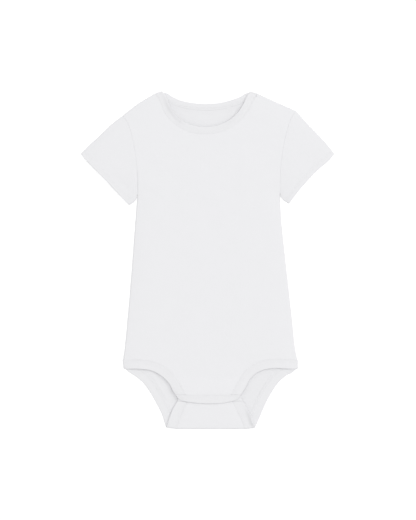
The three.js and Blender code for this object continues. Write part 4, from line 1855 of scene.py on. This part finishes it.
@dataclass
class NeckBand:
    """One loop of doubled knit around the neck opening, folded at both shoulders."""

    turn_steps: int = 14
    shape: BandShape = field(default_factory=BandShape)

    def dress(self, finishes: Finishes) -> None:
        """Args:
            finishes: the garment's materials.
        """
        ribbon = Ribbon()
        front = ribbon.lay(PATTERN.front_neck, upper_band_mid, 1)
        ribbon.turn(*PATTERN.folds[Side.RIGHT], BAND_EDGE_MID, self.turn_steps, True)
        back = ribbon.lay(PATTERN.back_neck.backwards(), lower_band_mid, -1)
        ribbon.turn(*PATTERN.folds[Side.LEFT], BAND_EDGE_MID, self.turn_steps, False)
        edge, seam, out, hangs = ribbon.joined()
        wall, on_surface = self.shape.wall(edge, seam, out, True, 21, hangs=hangs)
        piece = wall.build("neck_binding", finishes.band, finishes.band)
        sewing = Sewing()
        sew_band(sewing, on_surface, out, 1, 31)
        turn = self.turn_steps - 1
        for first, count in ((0, front), (front + turn, back)):
            sew_band(sewing, on_surface, out, -1, 33, slice(first + 5, first + count - 5))
        thread = sewing.build("neck_stitching", finishes.thread)
        hand_over(piece, "rib", "neck_band")
        hand_over(thread, "thread")
        declare_band(edge, seam, True)


@dataclass
class LegBand:
    """Doubled knit along one leg opening: front, round the hip, down the back and up with the tail."""

    side: Side
    turn_steps: int = 14
    shape: BandShape = field(default_factory=BandShape)

    def _crotch(self, ribbon: Ribbon, low: BandEdges, high: BandEdges) -> None:
        """Add the half turn at the crotch fold.

        Args:
            ribbon: the band's rows so far.
            low: edges on the back.
            high: edges on the tail.
        """
        radius = (TAIL_MID - SOLID_BAND / 2) / 2
        centre = (TAIL_MID + SOLID_BAND / 2) / 2
        share = np.linspace(0, 1, self.turn_steps + 1)[1:-1, None]
        angle = share[:, 0] * math.pi
        way = np.column_stack([np.zeros_like(angle), -np.sin(angle), -np.cos(angle)])
        for rows, below, above in ((ribbon.edge, low.edge, high.edge), (ribbon.seam, low.seam, high.seam)):
            place = below[-1] + (above[0] - below[-1]) * share
            rows.append(np.column_stack([place, np.full(len(share), centre)]) + way * radius)
        ribbon.out.append(way)
        ribbon.hangs.append(np.zeros(len(way)))

    def dress(self, finishes: Finishes) -> None:
        """Args:
            finishes: the garment's materials.
        """
        half = HALVES[self.side]
        front, back, tail = (part(self.side) for part in (PATTERN.front_leg, PATTERN.back_leg, PATTERN.tail))
        ribbon = Ribbon()
        front_rows = ribbon.lay(front.backwards(), upper_band_mid, 1)
        hips = (PATTERN.hip(self.side, half.hip_edge), PATTERN.hip(self.side, half.hip_seam))
        ribbon.turn(*hips, np.array([float(self.side.value), 0.0]), BAND_EDGE_MID, self.turn_steps, True)
        back_rows = ribbon.lay(back, lower_band_mid, -1)
        self._crotch(ribbon, back, tail)
        ribbon.lay(tail, tail_band_mid, 1)
        edge, seam, out, hangs = ribbon.joined()
        seed = 40 + self.side.value
        wall, on_surface = self.shape.wall(edge, seam, out, False, seed, hangs=hangs)
        piece = wall.build(f"leg_binding_{self.side.word}", finishes.band, finishes.band)
        sewing = Sewing()
        sew_band(sewing, on_surface, out, 1, seed + 10)
        turn = self.turn_steps - 1
        for first, count in ((0, front_rows), (front_rows + turn, back_rows)):
            sew_band(sewing, on_surface, out, -1, seed + 12, slice(first + 5, first + count - 5))
        thread = sewing.build(f"leg_stitching_{self.side.word}", finishes.thread)
        hand_over(piece, "rib", f"leg_band_{self.side.word}")
        hand_over(thread, "thread")
        declare_band(edge, seam, False)


@dataclass
class EndBands:
    """The straight bands that close the flap and the tail, held together by the press studs."""

    shape: BandShape = field(default_factory=BandShape)
    rows: int = 140

    def _build(self, name: str, node: str, edge: Points, seam: Points, mid: float, finishes: Finishes) -> None:
        """Build and sew one end band between its free edge and its seam.

        Args:
            name: the piece's name.
            node: the solid that it stands for.
            edge: the free edge's points.
            seam: the seam's points.
            mid: its middle height.
            finishes: the garment's materials.
        """
        edge, seam = (np.column_stack([line, np.full(len(line), mid)]) for line in (edge, seam))
        out = np.tile([0.0, 0.0, 1.0], (len(edge), 1))
        layer = Layer.UPPER if mid == FLAP_MID else Layer.NONE
        hangs = np.full(len(edge), layer.value)
        wall, on_surface = self.shape.wall(edge, seam, out, False, 60, free_ends=0.8, hangs=hangs)
        piece = wall.build(f"{name}_binding", finishes.band, finishes.band)
        sewing = Sewing()
        for face in (1, -1):
            sew_band(sewing, on_surface, out, face, 62, slice(3, -3))
        thread = sewing.build(f"{name}_stitching", finishes.thread)
        hand_over(piece, "rib", node)
        hand_over(thread, "thread")
        declare_band(edge, seam, False)

    def dress(self, finishes: Finishes) -> None:
        """Build both bands.

        Args:
            finishes: the garment's materials.
        """
        ends = [np.array([HALVES[side].front_leg[-1][0], FLAP_SEAM_Y]) for side in Side]
        seam = np.linspace(*ends, self.rows + 1)
        free = SmoothLine(FLAP_END).even(self.rows)
        self._build("flap", "flap_band", free, seam, FLAP_MID, finishes)
        seam_ends = [np.array([HALVES[side].tail_side[-1][0], TAIL_SEAM_Y]) for side in Side]
        free_ends = [np.array([HALVES[side].tail_end_x, TAIL_END_Y]) for side in Side]
        seam, free = (np.linspace(*pair, self.rows + 1) for pair in (seam_ends, free_ends))
        self._build("tail", "tail_band", free, seam, TAIL_MID, finishes)


@dataclass
class Sleeve:
    """A short sleeve lying flat: a tube folded along its top and joined underneath, with a sewn hem.

    The hem is thicker and stands a little up over its depth, and sinks by the ditch under each of its rows.
    The flat sizes are in metres.
    """

    side: Side
    across: int = 84
    along: int = 60
    turn_steps: int = 12
    hem_rows: tuple[float, float] = (5.0, 7.0)
    hem_depth: float = 7.6
    hem_thicker: float = 0.3
    hem_rise: float = 0.18
    hem_puckers: Row = (0.05, 6)
    ditch: float = 0.12
    seam_dip: float = 0.1
    seam_tuck: float = 0.16
    waves: float = 0.07
    flat_width: float = 0.212
    flat_length: float = 0.080
    shell: PanelShell = field(default_factory=PanelShell)

    def _folded(self, line: SmoothLine, shares: Points, turn: int) -> tuple[Points, Points]:
        """Axis of a folded edge, set in by its radius, and the way that it faces.

        Args:
            line: the edge's line.
            shares: shares from 0 to 1.
            turn: side that the fold faces, 1 or -1.

        Returns:
            The axis and the directions.
        """
        radius = SOLID_CLOTH + LAYER_GAP / 2
        points = line.at(shares)
        outs = turned_left(line.direction(shares)) * turn
        axis = points - outs * radius
        axis[0, 0] += self.side.value * LAYER_GAP / 2
        return axis, outs

    def _ring_parts(self) -> tuple[Points, Points, Points, Points, Points]:
        """Places of the flat layers, and both folded edges with the ways that they face.

        Returns:
            The grid, and axis and directions of the top fold and of the underarm's.
        """
        lines = PATTERN.lines[self.side]
        shares = graded(self.along, 0.85)
        away = -self.side.value
        top, top_outs = self._folded(lines["sleeve_top"], shares, -away)
        under, under_outs = self._folded(lines["underarm"], shares, away)
        armhole = PATTERN.armhole(self.side, 1)
        hem = lines["hem"].even(STEPS.armhole * STEPS.finer)
        at_body = run_between(top[0], armhole, under[0], 2.6)
        at_hem = run_between(top[-1], hem, under[-1], 2.6)
        even = np.linspace(0, 1, 121)
        top_line = self._folded(lines["sleeve_top"], even, -away)[0]
        under_line = self._folded(lines["underarm"], even, away)[0]
        grid = fill_between(top_line, under_line, at_body, at_hem, shares, graded(self.across, 0.7))
        grid = evened(grid, 30)
        grid[0], grid[-1] = top, under
        return grid, top, top_outs, under, under_outs

    @property
    def seed(self) -> int:
        """Which unevenness the sleeve has."""
        return 70 + self.side.value

    def wall(self) -> Wall:
        """Shape the sleeve.

        Returns:
            Its wall, round the tube.
        """
        grid, top, top_outs, under, under_outs = self._ring_parts()
        hem_line = grid[:, -1]
        body_line = grid[:, 0]
        from_hem = distance_to(grid, [hem_line])
        sewn = distance_to(grid, [body_line])
        hem = smooth(self.hem_depth - from_hem)
        ditch = self.ditch * sum(hump(from_hem - row, 0.6) for row in self.hem_rows)
        wall = CLOTH + self.hem_thicker * hem
        rim = np.maximum(rounded(from_hem, 0.45), 0.08)
        at_seam = self.seam_dip * hump(sewn, 1.5) + self.seam_tuck * (1 - rounded(sewn, 0.35))
        dip = 0.5 * wall * (1 - rim) + at_seam
        wall = wall * rim
        seed = self.seed
        inside = 1 - np.exp(-distance_to(grid, [top, under]) / 5)
        relief = sum(crease.height(grid) for crease in SLEEVE_CREASES[self.side])
        relief = relief + settled(grid, self.waves, seed)
        relief = relief + puckers(grid, hem_line, *self.hem_puckers, seed + 3)
        height = upper_mid(grid, PANEL_EDGE_MID, SOLID_CLOTH + LAYER_GAP / 2) + SOLID_CLOTH / 2
        raised = self.hem_rise * hem - ditch
        upper_top = height + relief * inside + raised - dip
        upper = [np.dstack([grid, upper_top]), np.dstack([grid, upper_top - wall])]
        low = dip + 0.5 * ditch
        lower = [np.dstack([grid, low]), np.dstack([grid, low + wall])]

        def turn(axis: Points, outs: Points, row: int) -> list[Points]:
            """Half a turn around a folded edge, outer and inner, from the upper to the lower layer.

            Args:
                axis: points that the cloth turns around.
                outs: the way that the fold faces at each.
                row: the grid's row at the fold.

            Returns:
                Outer and inner points.
            """
            radius = SOLID_CLOTH + LAYER_GAP / 2
            angles = np.linspace(0, math.pi, self.turn_steps + 1)[1:-1, None, None]
            level = np.cos(angles) * np.ones((1, len(axis), 1))
            way = np.concatenate([np.sin(angles) * outs, level], axis=2)
            centre = np.column_stack([axis, np.full(len(axis), radius)])
            share = (1 - np.cos(angles[..., 0])) / 2
            reach = radius - dip[row] * 0.8 + raised[row] * (1 - share)
            outer = centre + way * reach[..., None]
            inner = centre + way * (reach - wall[row] * 0.95)[..., None]
            return [outer, inner]

        below, above = turn(under, under_outs, -1), turn(top, top_outs, 0)
        rings = [np.concatenate([upper[k], below[k], lower[k][::-1], above[k][::-1]]) for k in (0, 1)]
        around = lengths_along(rings[0][:, self.along // 2])
        out_along = lengths_along(rings[0][self.across // 2])
        across = np.broadcast_to(around[:, None], rings[0].shape[:2])
        along = np.broadcast_to(out_along[None, :], rings[0].shape[:2])
        return Wall(rings[0], rings[1], across, along, True)

    def dress(self, finishes: Finishes) -> None:
        """Args:
            finishes: the garment's materials.
        """
        wall = self.wall()
        piece = wall.build(f"sleeve_jersey_{self.side.word}", finishes.sleeve, finishes.reverse)
        thread = self._sew(finishes, wall.outer)
        hand_over(piece, "jersey", f"sleeve_{self.side.word}")
        hand_over(thread, "thread")

    def _sew(self, finishes: Finishes, ring: Points) -> bpy.types.Object:
        """Two rows of stitches around the hem.

        Args:
            finishes: the garment's materials.
            ring: the sleeve's outer points.

        Returns:
            The object of the stitches.
        """
        sewing = Sewing()
        count = self.across + 1
        for number, distance in enumerate(self.hem_rows):
            path = []
            for row in ring:
                reach = lengths_along(row[::-1])
                path.append([np.interp(distance, reach, row[::-1, k]) for k in range(3)])
            path = np.array(path)
            turned = len(ring) - 2 * count
            half = turned // 2
            angles = np.concatenate([
                np.zeros(count), np.linspace(0, math.pi, half + 2)[1:-1],
                np.full(count, math.pi), np.linspace(math.pi, 2 * math.pi, half + 2)[1:-1],
            ])
            middle = path.mean(axis=0)
            away = unit((path - middle) * [1, 1, 0])
            normals = away * np.abs(np.sin(angles))[:, None] + np.outer(np.cos(angles), [0, 0, 1])
            sewing.row(path + unit(normals) * 0.03, normals, self.seed + 5 + number)
        return sewing.build(f"hem_stitching_{self.side.word}", finishes.thread)


@dataclass
class PressStuds:
    """The three closed press studs between flap and tail; their solids stay, with a moulded finish."""

    names: tuple[str, ...] = ("snap_1", "snap_2", "snap_3")

    def dress(self, finishes: Finishes) -> None:
        """Give each stud its finish.

        Args:
            finishes: the garment's materials.
        """
        for name in self.names:
            stud = bpy.data.objects[name]
            for slot in stud.material_slots:
                slot.material = finishes.snap
            LOG.info("%s: kept, with a finish of its own", name)


@dataclass
class Studio:
    """A pale floor, soft light and a camera straight above.

    Sizes and places are in metres, powers in watts, and the floor's drop below the garment in millimetres.
    """

    view_height: float = 0.65
    centre: Row = (0.000375, -0.000125)
    distance: float = 3.2
    floor_size: float = 6.0
    floor_drop: float = 0.05
    overhead_place: tuple[float, float, float] = (0.2, 0.25, 5.0)
    overhead_power: float = 121
    side_place: tuple[float, float, float] = (4.6, 2.6, 6.0)
    side_power: float = 78
    sky_strength: float = 0.51

    def _light(self, name: str, place: Sequence[float], size: float, power: float) -> None:
        """A square soft light that points at the garment.

        Args:
            name: the light's name.
            place: where it stands.
            size: the light's width.
            power: its power in watts.
        """
        lamp = bpy.data.lights.new(name, "AREA")
        lamp.size = size
        lamp.energy = power
        holder = placed(name, lamp)
        holder.location = place
        holder.rotation_euler = (-Vector(place)).to_track_quat("-Z", "Y").to_euler()

    def _floor(self) -> None:
        """The pale surface under the garment."""
        nodes = Nodes("pale_floor")
        nodes.set(Base_Color=(0.95, 0.95, 0.95, 1), Roughness=0.9, Emission_Color=(1, 1, 1, 1),
                  Emission_Strength=0.1)
        reach = self.floor_size / 2
        mesh = bpy.data.meshes.new("floor")
        corners = [(-reach, -reach, 0), (reach, -reach, 0), (reach, reach, 0), (-reach, reach, 0)]
        mesh.from_pydata(corners, [], [(0, 1, 2, 3)])
        mesh.materials.append(nodes.material)
        floor = placed("floor", mesh)
        floor.location.z = -self.floor_drop * MM

    def build(self) -> None:
        """Set up floor, lights, sky and camera."""
        self._floor()
        self._light("overhead_light", self.overhead_place, 1.4, self.overhead_power)
        self._light("side_light", self.side_place, 2.4, self.side_power)
        world = bpy.data.worlds.new("soft_sky")
        world.use_nodes = True
        sky = world.node_tree.nodes["Background"]
        sky.inputs["Color"].default_value = (1, 1, 1, 1)
        sky.inputs["Strength"].default_value = self.sky_strength
        bpy.context.scene.world = world
        camera = bpy.data.cameras.new("camera")
        camera.lens = camera.sensor_width * self.distance / self.view_height
        camera.clip_end = 20
        holder = placed("camera", camera)
        holder.location = (*self.centre, self.distance)
        bpy.context.scene.camera = holder
        bpy.context.scene.view_settings.view_transform = "Standard"


def main() -> None:
    """Build the garment piece by piece, then the studio."""
    finishes = Finishes()
    BackPanel().dress(finishes)
    FrontPanel().dress(finishes)
    for side in Side:
        Sleeve(side).dress(finishes)
    NeckBand().dress(finishes)
    for side in Side:
        LegBand(side).dress(finishes)
    EndBands().dress(finishes)
    PressStuds().dress(finishes)
    Studio().build()
    LOG.info("sizes written")


if __name__ == "__main__":
    logging.basicConfig(level=logging.INFO, format="%(message)s")
    main()
